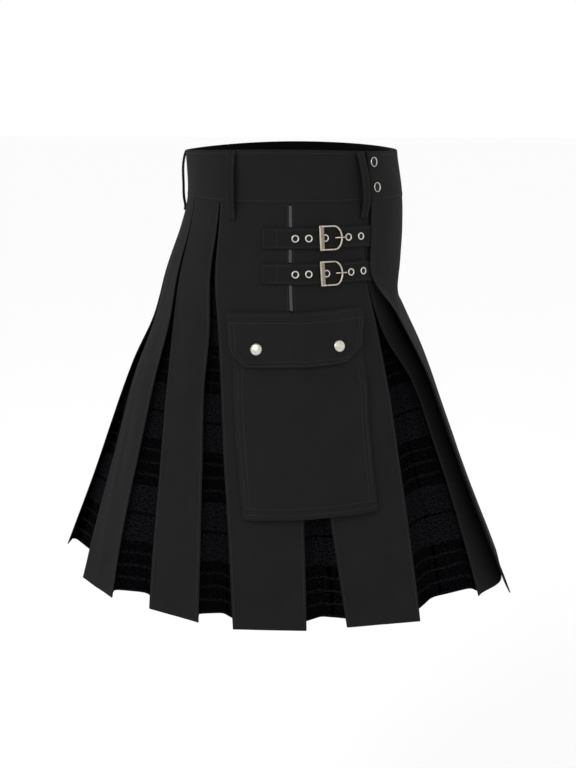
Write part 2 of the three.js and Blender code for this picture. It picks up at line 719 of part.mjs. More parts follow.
function flapPoint(share, down, out) {
  const angle = mix(along(FLAP, 'back', down), along(FLAP, 'front', down), share);
  const drop = FLAP_EDGE_DROP * Math.abs(2 * share - 1) ** EDGE_ROUNDING * ease((down - FLAP_ROWS[0]) / 12);
  const rest = COTTON / 2 + SEAM_GAP + POCKET_WALL / 2 + FLAP_LIFT;
  return onStrips(angle, tilted(share, down), rest + along(FLAP, 'rise', down) - drop + out);
}

function buildFlap() {
  add('pocket_flap', panel(flapPoint, spread(8, 0, 1), FLAP_ROWS, POCKET_WALL), BLACK_COTTON);
  const { radius, height, down, shares } = POCKET_SNAP;
  const back = along(FLAP, 'back', down);
  const front = along(FLAP, 'front', down);
  const onFlap = (angle, place, out) => flapPoint((angle - back) / (front - back), place, out);
  shares.forEach((share, i) => {
    const cap = seat(dome(radius, height), mix(back, front, share), down, POCKET_WALL / 2 + SEAM_GAP, onFlap);
    add(`pocket_snap_${i + 1}`, cap, NICKEL);
  });
}

buildWaistband();
buildStrips();
buildAprons();
buildInsets();
buildLoops();
buildStraps();
buildBandSnaps();
buildPocket();
buildFlap();

export default kilt;
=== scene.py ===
"""Looks of the utility kilt: fine cloth shells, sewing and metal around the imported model."""

import math

import bmesh
import bpy
import numpy as np
from mathutils import Matrix, Vector, noise


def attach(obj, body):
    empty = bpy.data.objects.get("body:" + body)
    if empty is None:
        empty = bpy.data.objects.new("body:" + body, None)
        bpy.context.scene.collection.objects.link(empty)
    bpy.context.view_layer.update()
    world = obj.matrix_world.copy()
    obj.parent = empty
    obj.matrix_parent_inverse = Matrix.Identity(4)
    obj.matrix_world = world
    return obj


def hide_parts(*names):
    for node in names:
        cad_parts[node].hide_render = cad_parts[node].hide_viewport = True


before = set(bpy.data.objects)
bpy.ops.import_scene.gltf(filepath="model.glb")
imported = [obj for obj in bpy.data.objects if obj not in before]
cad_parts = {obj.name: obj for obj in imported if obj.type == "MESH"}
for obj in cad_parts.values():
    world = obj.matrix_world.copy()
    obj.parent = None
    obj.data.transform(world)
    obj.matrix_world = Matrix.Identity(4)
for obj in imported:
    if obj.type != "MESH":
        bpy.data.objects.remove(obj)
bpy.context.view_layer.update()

MM = 0.001

# Camera: seen from the wearer's right side, a little to the back of it
CAMERA_DISTANCE = 1.8
CAMERA_TURN = 6.0
CAMERA_HEIGHT = 0.069
CAMERA_AIM = -0.3352
CAMERA_LENS = 60.67
FLOOR_HEIGHT = -1.3

# Driving sizes of the cloth, in millimetres down and across the cloth
KILT_LENGTH = 610.0
BAND_HEIGHT = 68.0
RIM_DIP = 6.0
SEAM_GAP = 0.3
SKIRT_INTO_BAND = 1.2
SKIRT_TOP = BAND_HEIGHT - SKIRT_INTO_BAND
COTTON = 1.6
TARTAN = 1.2
BAND_WALL = 2.4
WRAP_RISE = 5.4
TARTAN_SHORTER = 7.0
TARTAN_LENGTH = KILT_LENGTH - TARTAN_SHORTER
TWIST_ROOM = 0.7
TARTAN_ENDS_OUT = 0.3
UNDER_SEAM_OUT = 1.5
BEND_ROOM = 4.2
WRAP_STARTS_ANGLE = -96.0
WRAP_RAMP = 36.0
STRIP_FLATNESS = 0.92

OVAL = {
    "down": (0, 70, 110, 170, 240, 320, 420, 520, 610),
    "side": (150, 151, 157, 169, 184, 203, 227, 250, 271),
    "back": (138, 137, 147, 168, 188, 222, 258, 293, 327),
    "front": (142, 151, 152, 151, 164, 203, 248, 291, 332),
}

# Angles of the strips' back and front edges, from the back centre toward the side
EDGES = {
    "down": (68, 150, 230, 310, 400, 500, 610),
    "b0": (-9.0, -9.5, -9.2, -8.6, -8.0, -7.4, -6.8),
    "f0": (9.0, 9.5, 9.2, 8.6, 8.0, 7.4, 6.8),
    "b1": (9.4, 13.2, 18.0, 22.4, 27.4, 30.0, 34.0),
    "f1": (31.9, 35.2, 39.2, 43.0, 45.8, 47.6, 51.0),
    "b2": (32.3, 35.6, 39.9, 48.2, 53.2, 56.8, 60.6),
    "f2": (56.5, 58.6, 63.2, 66.3, 69.9, 72.6, 75.1),
    "b3": (57.0, 60.8, 67.0, 72.5, 76.5, 80.0, 82.8),
    "f3": (96.8, 97.2, 98.0, 99.3, 99.8, 99.5, 99.0),
    "b4": (97.3, 98.0, 99.8, 103.2, 105.6, 107.0, 107.8),
    "f4": (134.0, 137.7, 141.4, 136.0, 131.4, 128.1, 124.9),
    "b5": (134.4, 138.3, 145.0, 150.2, 148.4, 146.7, 143.4),
}
STRIP_OUTS = ((-3, -3), (-4, 8), (-6, 7), (5, 1), (2, 10))

APRON = {
    "down": (150, 200, 240, 310, 400, 500, 610),
    "right": (96, 97, 102, 111, 123, 136, 148),
    "left": (104, 104, 110, 121, 134, 148, 163),
    "front": (152, 150, 163, 193.5, 225.5, 260, 301.5),
    "right_back": (20, 2, -5.5, -7.5, -8.5, -11, -11.5),
    "left_back": (26, 10, 4, 5.5, 9.5, 13, 22.5),
}
APRON_RIGHT_ANGLE = 139.4
UNDER_LEFT_ANGLE = 211.0
APRON_LEAVES_BODY = 150.0
APRON_STANDS_FREE = 215.0
UNDER_GAP = 8.0
UNDER_LIES_CLOSER = 5.9
UNDER_CLOSES_FROM = 230.0
UNDER_CLOSES_OVER = 150.0
UNDER_LEFT_SHARE = 0.72
UNDER_LEAVES_BODY = 130.0
UNDER_STANDS_FREE = 220.0
UNDER_EDGE_OUT = 6.0
UNDER_EDGE_DROP = 9.0
UNDER_TURN_SHARE = 0.62

PLEAT = {
    "down": (68, 230, 400, 610),
    "reach": (18, 15, 9, 5),
    "layer": (3.2, 3.8, 5.0, 7.0),
    "valley": (1.0, 3.0, 9.0, 15.0),
}

LOOP_WIDTH = 13.0
LOOP_CLOTH = 1.8
LOOPS = {
    "belt_loop_back": (1.5, 0.0),
    "belt_loop_right_side": (66.0, 0.0),
    "belt_loop_right_front": (135.6, 0.0),
    "belt_loop_left_side": (-66.0, 0.0),
    "belt_loop_left_front": (-145.0, WRAP_RISE),
}
LOOP_RISE = {"down": (1, 8, 25, 50, 72, 82, 89), "rise": (0, 2.6, 6.0, 6.8, 5.2, 1.6, 0.6)}

STRAP_WIDTH = 27.0
STRAP_CLOTH = 1.7
STRAP_LIFT = 1.1
STRAP_END_LIFT = 0.5
STRAPS = {
    "strap_upper": {"middle": 111, "tail": -37, "tuck": 118, "buckle": 51, "eyelets": (6, 23, 44, 76, 95)},
    "strap_lower": {"middle": 156, "tail": -36, "tuck": 120, "buckle": 52, "eyelets": (6, 23, 46, 80, 99)},
}
EYELET_OUTER = 5.0
EYELET_HOLE = 3.1
BUCKLE_LENGTH = 32.0
BUCKLE_WIDTH = 32.0
BUCKLE_BAR = 6.4
BUCKLE_WIRE = 2.4
BUCKLE_BOW_STARTS = 4.5
BUCKLE_RIM = 1.2
BUCKLE_LIFT = 1.3
BAND_SNAP_RADIUS = 6.5
BAND_SNAP_DARK = 0.84
BAND_SNAP_DARK_RISE = 0.36
BAND_SNAP_PLACES = ((14.0, 10.6), (49.0, 12.1))
POCKET_SNAP_RADIUS = 7.6
POCKET_SNAP_DOWN = 249.0
POCKET_SNAP_SHARES = (0.194, 0.792)

POCKET = {
    "down": (218, 260, 300, 350, 410, 455, 467),
    "back": (73.6, 75.8, 77.4, 79.2, 81.6, 83.2, 83.6),
    "front": (132.6, 129.6, 127.0, 123.8, 121.5, 120.5, 120.3),
    "thick": (5, 8, 7, 9, 11, 12, 9),
}
POCKET_WALL = 1.5
POCKET_LIFT = 1.6
POCKET_SIDE = 4.4
POCKET_TILT = 6.0
FLAP = {
    "down": (204, 214, 236, 252, 273),
    "back": (70.6, 71.4, 73.2, 74.4, 81.0),
    "front": (133.4, 132.8, 130.4, 128.6, 119.8),
    "rise": (0.7, 9.0, 11.4, 12.0, 12.0),
}
FLAP_LIFT = 0.4
WAVE_DRAWN_OUT = 0.45


def blend(start, leaving, end, arriving, t):
    """A smooth way from start to end, with the slopes at which it leaves and arrives."""
    first = start * (2 * t**3 - 3 * t**2 + 1) + leaving * (t**3 - 2 * t**2 + t)
    return first + (end * (3 * t**2 - 2 * t**3) + arriving * (t**3 - t**2))


def along(table, name, down):
    """Smooth value of a table's column at a height."""
    x, y = table["down"], table[name]
    last = len(x) - 1
    at = min(max(down, x[0]), x[last])
    row = 0
    while row < last - 1 and x[row + 1] < at:
        row += 1

    def slope(i):
        return (y[i + 1] - y[i]) / (x[i + 1] - x[i])

    def tangent(i):
        return (slope(max(i - 1, 0)) + slope(min(i, last - 1))) / 2

    span = x[row + 1] - x[row]
    t = (at - x[row]) / span
    return blend(y[row], tangent(row) * span, y[row + 1], tangent(row + 1) * span, t)


def mix(a, b, t):
    return a + (b - a) * t


def ease(t):
    k = min(max(t, 0.0), 1.0)
    return k * k * (3 - 2 * k)


def fall(down):
    return min(max((down - BAND_HEIGHT) / (KILT_LENGTH - BAND_HEIGHT), 0.0), 1.0)


def spread(count, start, end):
    return [mix(start, end, i / count) for i in range(count + 1)]


def oval(angle, down, out=0.0):
    """A point of the body's oval in plan, moved outward."""
    a = math.radians(angle)
    side = along(OVAL, "side", down)
    depth = along(OVAL, "back" if math.cos(a) > 0 else "front", down)
    normal = Vector((-depth * math.sin(a), side * math.cos(a))).normalized()
    return Vector((-side * math.sin(a), depth * math.cos(a))) + normal * out


def heights(place):
    """Height at each step down a line of cloth, so that the cloth keeps its length.

    Down to the band's lower edge it hangs straight.
    """
    step = 5.0
    values = [0.0]
    count = int(KILT_LENGTH / step)
    for i in range(1, count + 1):
        moved = (place(i * step) - place((i - 1) * step)).length
        if (i - 1) * step < BAND_HEIGHT:
            moved = 0.0
        values.append(values[-1] - math.sqrt(max(step * step - moved * moved, 1.0)))
    downs = np.arange(count + 1) * step
    return lambda down: float(np.interp(down, downs, values))


def rim_dip(angle, down):
    return -RIM_DIP * math.cos(math.radians(angle)) ** 2 * (1 - ease(down / BAND_HEIGHT))


def surface_from(plan, height):
    """A cloth surface from its plan curve and its height."""

    def point(share, down, out=0.0):
        across = (plan(share + 0.01, down) - plan(share - 0.01, down)).normalized()
        flat = plan(share, down) + Vector((across.y, -across.x)) * out
        return Vector((flat.x, flat.y, height(share, down)))

    return point


def make_strip(index):
    back_out, front_out = STRIP_OUTS[index]

    def angle_at(share, down):
        return mix(along(EDGES, f"b{index}", down), along(EDGES, f"f{index}", down), share)

    def edge(share, down):
        return oval(angle_at(share, down), down, mix(back_out, front_out, share) * fall(down))

    def plan(share, down):
        chord = edge(0, down).lerp(edge(1, down), share)
        return edge(share, down).lerp(chord, STRIP_FLATNESS * fall(down))

    middle = heights(lambda down: plan(0.5, down))
    return surface_from(plan, lambda share, down: middle(down)), angle_at


STRIP = [make_strip(i) for i in range(len(STRIP_OUTS))]


def apron_back(x, down):
    """How far the apron's plan is set back at a place across it."""
    if x < 0:
        return along(APRON, "right_back", down) * (x / along(APRON, "right", down)) ** 2
    return along(APRON, "left_back", down) * (x / along(APRON, "left", down)) ** 2


def apron_plan(share, down):
    high = oval(mix(APRON_RIGHT_ANGLE, 360 - along(EDGES, "b5", down), share), down, WRAP_RISE)
    x = mix(-along(APRON, "right", down), along(APRON, "left", down), share)
    low = Vector((x, apron_back(x, down) - along(APRON, "front", down)))
    return high.lerp(low, ease((down - APRON_LEAVES_BODY) / (APRON_STANDS_FREE - APRON_LEAVES_BODY)))


def under_closes(down):
    """How far the under apron has come to lie against the apron, from 0 to 1."""
    return ease((down - UNDER_CLOSES_FROM) / UNDER_CLOSES_OVER)


def under_plan(share, down):
    back_angle = along(EDGES, "b5", down)
    high = oval(mix(back_angle, UNDER_LEFT_ANGLE, share), down)
    edge = oval(back_angle, down, UNDER_EDGE_OUT * fall(down))
    x = mix(edge.x, along(APRON, "left", down) * UNDER_LEFT_SHARE, share)
    gap = UNDER_GAP - UNDER_LIES_CLOSER * under_closes(down)
    inside = apron_back(x, down) - along(APRON, "front", down) + gap
    turn = ease((x - edge.x) / (UNDER_TURN_SHARE * along(APRON, "right", down)))
    straight = edge.y + (inside - edge.y) * turn
    bent = Vector((x, max(mix(straight, inside, turn), inside)))
    return high.lerp(bent, ease((down - UNDER_LEAVES_BODY) / (UNDER_STANDS_FREE - UNDER_LEAVES_BODY)))


apron_middle_height = heights(lambda down: apron_plan(0.5, down))
under_edge_height = heights(lambda down: under_plan(0, down))
under_middle_height = heights(lambda down: under_plan(0.5, down))


def under_height(share, down):
    """The under apron hangs lower at its edge, where it goes less far forward."""
    at_edge = under_edge_height(down) - UNDER_EDGE_DROP * fall(down)
    return mix(at_edge, under_middle_height(down), ease(share * 2))


apron_point = surface_from(apron_plan, lambda share, down: apron_middle_height(down))
under_point = surface_from(under_plan, under_height)


def on_strips(angle, down, out):
    """A point on whatever strip lies at an angle, moved outward."""
    for i, (point, angle_at) in enumerate(STRIP):
        back, front = angle_at(0, down), angle_at(1, down)
        if back <= angle <= front:
            return point((angle - back) / (front - back), down, out)
        if i + 1 < len(STRIP) and front < angle < STRIP[i + 1][1](0, down):
            share = (angle - front) / (STRIP[i + 1][1](0, down) - front)
            return point(1, down, out).lerp(STRIP[i + 1][0](0, down, out), share)
    back = along(EDGES, "b5", down)
    return under_point(max(angle - back, 0.0) / (UNDER_LEFT_ANGLE - back), down, out)


def band_point(angle, down, out=0.0):
    over = ease((WRAP_STARTS_ANGLE - angle) / WRAP_RAMP)
    flat = oval(angle, down, out + over * WRAP_RISE)
    return Vector((flat.x, flat.y, -down + rim_dip(angle, down)))


def wrapped_band(share, down, out=0.0):
    """The waistband from its inner end, under the apron at the left, round to the apron's free edge."""
    return band_point(mix(UNDER_LEFT_ANGLE, APRON_RIGHT_ANGLE - 360, share), down, out)


def mirrored(surface):
    def point(share, down, out=0.0):
        p = surface(share, down, out)
        return Vector((-p.x, p.y, p.z))

    return point


def wave(place, seed):
    """A soft uneven value from -1 to 1 over a piece of cloth, drawn out down the cloth."""
    return noise.noise(Vector((place[0], place[1] * WAVE_DRAWN_OUT, seed)))


def hump(at, middle, half):
    """A soft hump, 1 high at its middle."""
    return math.exp(-(((at - middle) / half) ** 2))


def new_object(name, mesh, material, node=None):
    piece = bpy.data.objects.new(name, mesh)
    bpy.context.scene.collection.objects.link(piece)
    piece.data.materials.append(material)
    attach(piece, "root")
    if node:
        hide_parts(node)
    return piece


def shade_smooth(mesh):
    mesh.polygons.foreach_set("use_smooth", [True] * len(mesh.polygons))


def cloth(name, surface, shares, downs, thick, material, node=None, relief=None):
    """A cloth shell: a grid laid on a surface, with its UV map in metres of cloth."""
    columns, rows = len(shares) - 1, len(downs) - 1
    grid = bmesh.new()
    bmesh.ops.create_grid(grid, x_segments=columns, y_segments=rows, size=1.0)
    uv = grid.loops.layers.uv.new("cloth")
    places = {}
    widths = [0.0]
    for i in range(columns):
        a = surface(shares[i], downs[rows // 2], 0.0)
        b = surface(shares[i + 1], downs[rows // 2], 0.0)
        widths.append(widths[-1] + (b - a).length)
    for vert in grid.verts:
        i = round((vert.co.x + 1) / 2 * columns)
        j = round((1 - vert.co.y) / 2 * rows)
        places[vert] = (i, j)
        out = relief(shares[i], downs[j]) if relief else 0.0
        vert.co = surface(shares[i], downs[j], out) * MM
    for face in grid.faces:
        for loop in face.loops:
            i, j = places[loop.vert]
            loop[uv].uv = ((widths[i] - widths[-1] / 2) * MM, -downs[j] * MM)
    mesh = bpy.data.meshes.new(name)
    grid.to_mesh(mesh)
    grid.free()
    shade_smooth(mesh)
    piece = new_object(name, mesh, material, node)
    face = mesh.polygons[len(mesh.polygons) // 2]
    i, j = places_near(face.center, surface, shares, downs)
    outward = surface(shares[i], downs[j], 1.0) - surface(shares[i], downs[j], 0.0)
    if face.normal.dot(outward) < 0:
        mesh.flip_normals()
    wall = piece.modifiers.new("wall", "SOLIDIFY")
    wall.thickness = thick * MM
    wall.offset = 0.0
    wall.use_rim = True
    smooth = piece.modifiers.new("smooth", "SUBSURF")
    smooth.levels = 1
    smooth.render_levels = 1
    return piece


def places_near(spot, surface, shares, downs):
    """The grid place that lies nearest to a spot in metres."""
    pairs = [(i, j) for i in range(0, len(shares), 2) for j in range(0, len(downs), 2)]
    return min(pairs, key=lambda ij: (surface(shares[ij[0]], downs[ij[1]], 0.0) * MM - spot).length)


def cut_area(surface, shares, downs):
    """The flat area of a cloth piece in square metres."""
    total = 0.0
    for i in range(len(shares) - 1):
        for j in range(len(downs) - 1):
            a = surface(shares[i], downs[j], 0.0)
            b = surface(shares[i + 1], downs[j], 0.0)
            c = surface(shares[i + 1], downs[j + 1], 0.0)
            d = surface(shares[i], downs[j + 1], 0.0)
            total += ((b - a).cross(c - a).length + (c - a).cross(d - a).length) / 2
    return total * MM * MM


def declare(surface, shares, downs):
    """Works out the smallest rectangle that a cloth piece is cut from, and its flat area, but keeps none of
    them.
    """
    widest = max(
        sum((surface(a, down, 0.0) - surface(b, down, 0.0)).length for a, b in zip(shares, shares[1:]))
        for down in downs[:: max(len(downs) // 6, 1)]
    )
    longest = sum((surface(0.5, a, 0.0) - surface(0.5, b, 0.0)).length for a, b in zip(downs, downs[1:]))
    area = cut_area(surface, shares, downs)


# Node groups for the finishes
def node_group(name, inputs, outputs):
    group = bpy.data.node_groups.new(name, "ShaderNodeTree")
    for label, kind, value in inputs:
        socket = group.interface.new_socket(label, in_out="INPUT", socket_type=kind)
        if value is not None:
            socket.default_value = value
    for label, kind in outputs:
        group.interface.new_socket(label, in_out="OUTPUT", socket_type=kind)
    return group, group.nodes.new("NodeGroupInput"), group.nodes.new("NodeGroupOutput")


def math_node(tree, operation, a, b=None):
    node = tree.nodes.new("ShaderNodeMath")
    node.operation = operation
    for socket, value in zip(node.inputs, (a, b)):
        if value is None:
            continue
        if isinstance(value, (int, float)):
            socket.default_value = value
        else:
            tree.links.new(value, socket)
    return node.outputs[0]


def plus(tree, a, b):
    return math_node(tree, "ADD", a, b)


def times(tree, a, b):
    return math_node(tree, "MULTIPLY", a, b)


def noise_node(tree, vector, scale, detail=3.0, roughness=0.55):
    node = tree.nodes.new("ShaderNodeTexNoise")
    node.inputs["Scale"].default_value = scale
    node.inputs["Detail"].default_value = detail
    node.inputs["Roughness"].default_value = roughness
    tree.links.new(vector, node.inputs["Vector"])
    return node.outputs["Fac"]


def make_twill_group():
    """Diagonal ribs of a cotton twill, with thick and thin yarns."""
    group, inside, outside = node_group(
        "twill_weave",
        [("UV", "NodeSocketVector", None), ("Rib", "NodeSocketFloat", 0.0011)],
        [("Height", "NodeSocketFloat"), ("Shade", "NodeSocketFloat")],
    )
    split = group.nodes.new("ShaderNodeSeparateXYZ")
    group.links.new(inside.outputs["UV"], split.inputs[0])
    turn = math_node(group, "DIVIDE", 2 * math.pi, inside.outputs["Rib"])
    sideways = times(group, split.outputs[0], 0.83)
    downward = times(group, split.outputs[1], 0.56)
    slant = times(group, plus(group, sideways, downward), turn)
    bend = times(group, noise_node(group, inside.outputs["UV"], 160.0, 2.0), 2.2)
    ribs = math_node(group, "SINE", plus(group, slant, bend))
    picks = times(group, times(group, split.outputs[1], turn), 1.9)
    across = math_node(group, "SINE", picks)
    slub = noise_node(group, inside.outputs["UV"], 420.0, 3.0)
    height = plus(group, times(group, ribs, 0.5), times(group, across, 0.18))
    height = plus(group, height, times(group, slub, 0.5))
    group.links.new(height, outside.inputs["Height"])
    patch = noise_node(group, inside.outputs["UV"], 22.0, 4.0)
    shade = plus(group, times(group, slub, 0.35), times(group, patch, 0.65))
    group.links.new(shade, outside.inputs["Shade"])
    return group


def make_sett_group():
    """One direction of the tartan: 1 where the yarn is charcoal and 0 where it is black."""
    group, inside, outside = node_group(
        "tartan_sett",
        [("Place", "NodeSocketFloat", 0.0), ("Start", "NodeSocketFloat", 0.0)],
        [("Charcoal", "NodeSocketFloat")],
    )
    repeat, block, line, stripe = 140.0, 38.0, 3.2, 3.4
    shifted = plus(group, inside.outputs["Place"], inside.outputs["Start"])
    share = math_node(group, "FRACT", math_node(group, "DIVIDE", shifted, repeat * MM))
    ramp = group.nodes.new("ShaderNodeValToRGB")
    ramp.color_ramp.interpolation = "CONSTANT"
    stops = [(0.0, 1.0), (block - line / 2, 0.0), (block + line / 2, 1.0), (2 * block, 0.0)]
    for centre in (91.0, 108.0, 125.0):
        stops += [(centre - stripe / 2, 1.0), (centre + stripe / 2, 0.0)]
    elements = ramp.color_ramp.elements
    while len(elements) < len(stops):
        elements.new(0.5)
    for element, (place, value) in zip(elements, stops):
        element.position = place / repeat
        element.color = (value, value, value, 1.0)
    group.links.new(share, ramp.inputs[0])
    group.links.new(ramp.outputs[0], outside.inputs["Charcoal"])
    return group


def make_lint_group():
    """Faint lint and rubbing, as a mask from 0 to 1."""
    group, inside, outside = node_group(
        "lint",
        [("Place", "NodeSocketVector", None), ("Scale", "NodeSocketFloat", 60.0)],
        [("Mask", "NodeSocketFloat")],
    )
    node = group.nodes.new("ShaderNodeTexNoise")
    node.inputs["Detail"].default_value = 6.0
    group.links.new(inside.outputs["Place"], node.inputs["Vector"])
    group.links.new(inside.outputs["Scale"], node.inputs["Scale"])
    sharp = times(group, math_node(group, "SUBTRACT", node.outputs["Fac"], 0.5), 3.0)
    group.links.new(math_node(group, "MAXIMUM", sharp, 0.0), outside.inputs["Mask"])
    return group


TWILL = make_twill_group()
SETT = make_sett_group()
LINT = make_lint_group()


def start_material(name, rough, metallic=0.0):
    material = bpy.data.materials.new(name)
    material.use_nodes = True
    tree = material.node_tree
    shader = tree.nodes["Principled BSDF"]
    shader.inputs["Roughness"].default_value = rough
    shader.inputs["Metallic"].default_value = metallic
    return material, tree, shader


def place_group(tree, group, **values):
    node = tree.nodes.new("ShaderNodeGroup")
    node.node_tree = group
    for label, value in values.items():
        if isinstance(value, (int, float)):
            node.inputs[label].default_value = value
        else:
            tree.links.new(value, node.inputs[label])
    return node


def colour_mix(tree, mask, low, high):
    node = tree.nodes.new("ShaderNodeMix")
    node.data_type = "RGBA"
    for socket, value in ((node.inputs[0], mask), (node.inputs[6], low), (node.inputs[7], high)):
        if isinstance(value, tuple):
            socket.default_value = value + (1.0,)
        else:
            tree.links.new(value, socket)
    return node.outputs[2]


def add_bump(tree, shader, height, depth, strength=1.0):
    bump = tree.nodes.new("ShaderNodeBump")
    bump.inputs["Distance"].default_value = depth
    bump.inputs["Strength"].default_value = strength
    tree.links.new(height, bump.inputs["Height"])
    tree.links.new(bump.outputs[0], shader.inputs["Normal"])


def cloth_map(tree):
    """The place on the cloth, in metres, from the piece's UV map."""
    node = tree.nodes.new("ShaderNodeUVMap")
    node.uv_map = "cloth"
    return node.outputs[0]


def cotton_material(name, dark, light, rib):
    material, tree, shader = start_material(name, 0.86)
    uv = cloth_map(tree)
    weave = place_group(tree, TWILL, UV=uv, Rib=rib)
    tree.links.new(colour_mix(tree, weave.outputs["Shade"], dark, light), shader.inputs["Base Color"])
    add_bump(tree, shader, weave.outputs["Height"], 0.00022, 0.8)
    shader.inputs["Sheen Weight"].default_value = 0.02
    shader.inputs["Sheen Roughness"].default_value = 0.5
    shader.inputs["Sheen Tint"].default_value = (0.6, 0.6, 0.62, 1.0)
    shader.inputs["Specular IOR Level"].default_value = 0.05
    return material


def tartan_material(name, shift):
    """Black and charcoal tartan in a coarse, heathered weave with slightly wavy lines."""
    material, tree, shader = start_material(name, 0.95)
    uv = cloth_map(tree)
    split = tree.nodes.new("ShaderNodeSeparateXYZ")
    tree.links.new(uv, split.inputs[0])
    drift = times(tree, math_node(tree, "SUBTRACT", noise_node(tree, uv, 45.0), 0.5), 0.004)
    across = plus(tree, split.outputs[0], drift)
    down = math_node(tree, "SUBTRACT", drift, split.outputs[1])
    warp = place_group(tree, SETT, Place=across, Start=shift * MM)
    weft = place_group(tree, SETT, Place=down, Start=100 * MM)
    yarn = 2 * math.pi / 0.0026
    side = math_node(tree, "SINE", times(tree, split.outputs[0], yarn))
    drop = math_node(tree, "SINE", times(tree, split.outputs[1], yarn))
    checks = times(tree, side, drop)
    over = math_node(tree, "GREATER_THAN", checks, 0.1)
    under = math_node(tree, "SUBTRACT", 1.0, times(tree, over, 0.6))
    warp_part = times(tree, warp.outputs[0], plus(tree, times(tree, over, 0.45), 0.14))
    weft_part = times(tree, weft.outputs[0], under)
    speck = noise_node(tree, uv, 430.0, 3.0, 0.75)
    heather = plus(tree, times(tree, math_node(tree, "SUBTRACT", speck, 0.5), 8.0), 0.62)
    lit = math_node(tree, "MAXIMUM", heather, 0.08)
    mask = times(tree, plus(tree, warp_part, weft_part), lit)
    shade = colour_mix(tree, mask, (0.0003, 0.0003, 0.0004), (0.0074, 0.0074, 0.0088))
    tree.links.new(shade, shader.inputs["Base Color"])
    height = plus(tree, times(tree, checks, 0.6), times(tree, speck, 0.6))
    add_bump(tree, shader, height, 0.0004, 0.9)
    shader.inputs["Specular IOR Level"].default_value = 0.0
    return material


def metal_material(name, dark, light, rough):
    """Antique metal, darker where dirt sits and brighter where it is rubbed."""
    material, tree, shader = start_material(name, rough, 1.0)
    place = tree.nodes.new("ShaderNodeTexCoord").outputs["Object"]
    rub = place_group(tree, LINT, Place=place, Scale=260.0)
    fine = noise_node(tree, place, 1400.0, 3.0)
    tree.links.new(colour_mix(tree, rub.outputs[0], light, dark), shader.inputs["Base Color"])
    spread_rough = plus(tree, times(tree, fine, 0.16), rough - 0.08)
    tree.links.new(spread_rough, shader.inputs["Roughness"])
    add_bump(tree, shader, fine, 0.00006, 0.5)
    return material


def plain_thread(name, colour, rough):
    material, tree, shader = start_material(name, rough)
    place = tree.nodes.new("ShaderNodeTexCoord").outputs["Object"]
    twist = noise_node(tree, place, 2600.0, 2.0)
    dark = tuple(c * 0.6 for c in colour)
    tree.links.new(colour_mix(tree, twist, dark, colour), shader.inputs["Base Color"])
    add_bump(tree, shader, twist, 0.00005, 0.6)
    return material


BLACK = cotton_material("black_cotton_twill", (0.0072, 0.0072, 0.0073), (0.0138, 0.0138, 0.0140), 0.0011)
BAND_BLACK = cotton_material("strap_cotton_twill", (0.0062, 0.0062, 0.0063), (0.0120, 0.0120, 0.0122), 0.0009)
# Painted shade: a near-black copy of the cotton for the waistband's inner side, standing for the shade inside
# the kilt
BAND_INSIDE_SHADE = cotton_material("waist_inside_shade", (0.0006, 0.0006, 0.0006), (0.0016, 0.0016, 0.0016), 0.0009)
PLAID = tartan_material("black_charcoal_tartan", 30.0)
THREAD = plain_thread("black_thread", (0.0145, 0.0145, 0.0145), 0.8)
GREY_THREAD = plain_thread("light_grey_thread", (0.17, 0.17, 0.17), 0.9)
BRASS = metal_material("antique_brass", (0.16, 0.13, 0.10), (0.52, 0.47, 0.39), 0.32)
BRUSHED = metal_material("brushed_brass", (0.09, 0.075, 0.06), (0.27, 0.23, 0.19), 0.5)
NICKEL = metal_material("antique_nickel", (0.30, 0.28, 0.25), (0.62, 0.60, 0.54), 0.30)


def shadow_material():
    material, _, shader = start_material("eyelet_shadow", 1.0)
    shader.inputs["Base Color"].default_value = (0.002, 0.002, 0.002, 1.0)
    return material


HOLE_SHADOW = shadow_material()


# Camera, floor and lights
def make_camera():
    camera = bpy.data.objects.new("camera", bpy.data.cameras.new("camera"))
    bpy.context.scene.collection.objects.link(camera)
    turn = math.radians(CAMERA_TURN)
    place = Vector((-CAMERA_DISTANCE * math.cos(turn), -CAMERA_DISTANCE * math.sin(turn), CAMERA_HEIGHT))
    camera.location = place
    camera.rotation_mode = "QUATERNION"
    camera.rotation_quaternion = (Vector((0, 0, CAMERA_AIM)) - place).to_track_quat("-Z", "Y")
    camera.data.sensor_width = 36.0
    camera.data.lens = CAMERA_LENS
    camera.data.clip_end = 100.0
    bpy.context.scene.camera = camera


def make_light(name, place, aim, size, power):
    light = bpy.data.lights.new(name, "AREA")
    light.shape = "RECTANGLE"
    light.size, light.size_y = size
    light.energy = power
    lamp = bpy.data.objects.new(name, light)
    bpy.context.scene.collection.objects.link(lamp)
    lamp.location = place
    lamp.rotation_mode = "QUATERNION"
    lamp.rotation_quaternion = (Vector(aim) - Vector(place)).to_track_quat("-Z", "Y")


def make_studio():
    floor_grid = bmesh.new()
    bmesh.ops.create_grid(floor_grid, x_segments=1, y_segments=1, size=40.0)
    for vert in floor_grid.verts:
        vert.co.z = FLOOR_HEIGHT
    mesh = bpy.data.meshes.new("floor")
    floor_grid.to_mesh(mesh)
    floor_grid.free()
    floor = bpy.data.objects.new("floor", mesh)
    bpy.context.scene.collection.objects.link(floor)
    material, _, shader = start_material("pale_floor", 0.9)
    shader.inputs["Base Color"].default_value = (0.97, 0.97, 0.97, 1.0)
    mesh.materials.append(material)
    world = bpy.data.worlds.new("studio")
    bpy.context.scene.world = world
    world.use_nodes = True
    world.node_tree.nodes["Background"].inputs[0].default_value = (1.0, 1.0, 1.0, 1.0)
    world.node_tree.nodes["Background"].inputs[1].default_value = 1.0
    make_light("key", (-2.3, 1.3, 1.3), (0, 0, -0.3), (1.6, 1.6), 30.0)
    make_light("fill", (-2.4, -1.4, 0.2), (0, 0, -0.3), (1.2, 1.8), 2.0)
    bpy.context.scene.view_settings.view_transform = "Standard"


make_camera()
make_studio()

EDGE_MARGIN = 1.6


def edged(values, start, end):
    """The same steps with one more line close to each free edge, so that the edge stays crisp."""
    return sorted({*values, start, end, start + EDGE_MARGIN, end - EDGE_MARGIN})


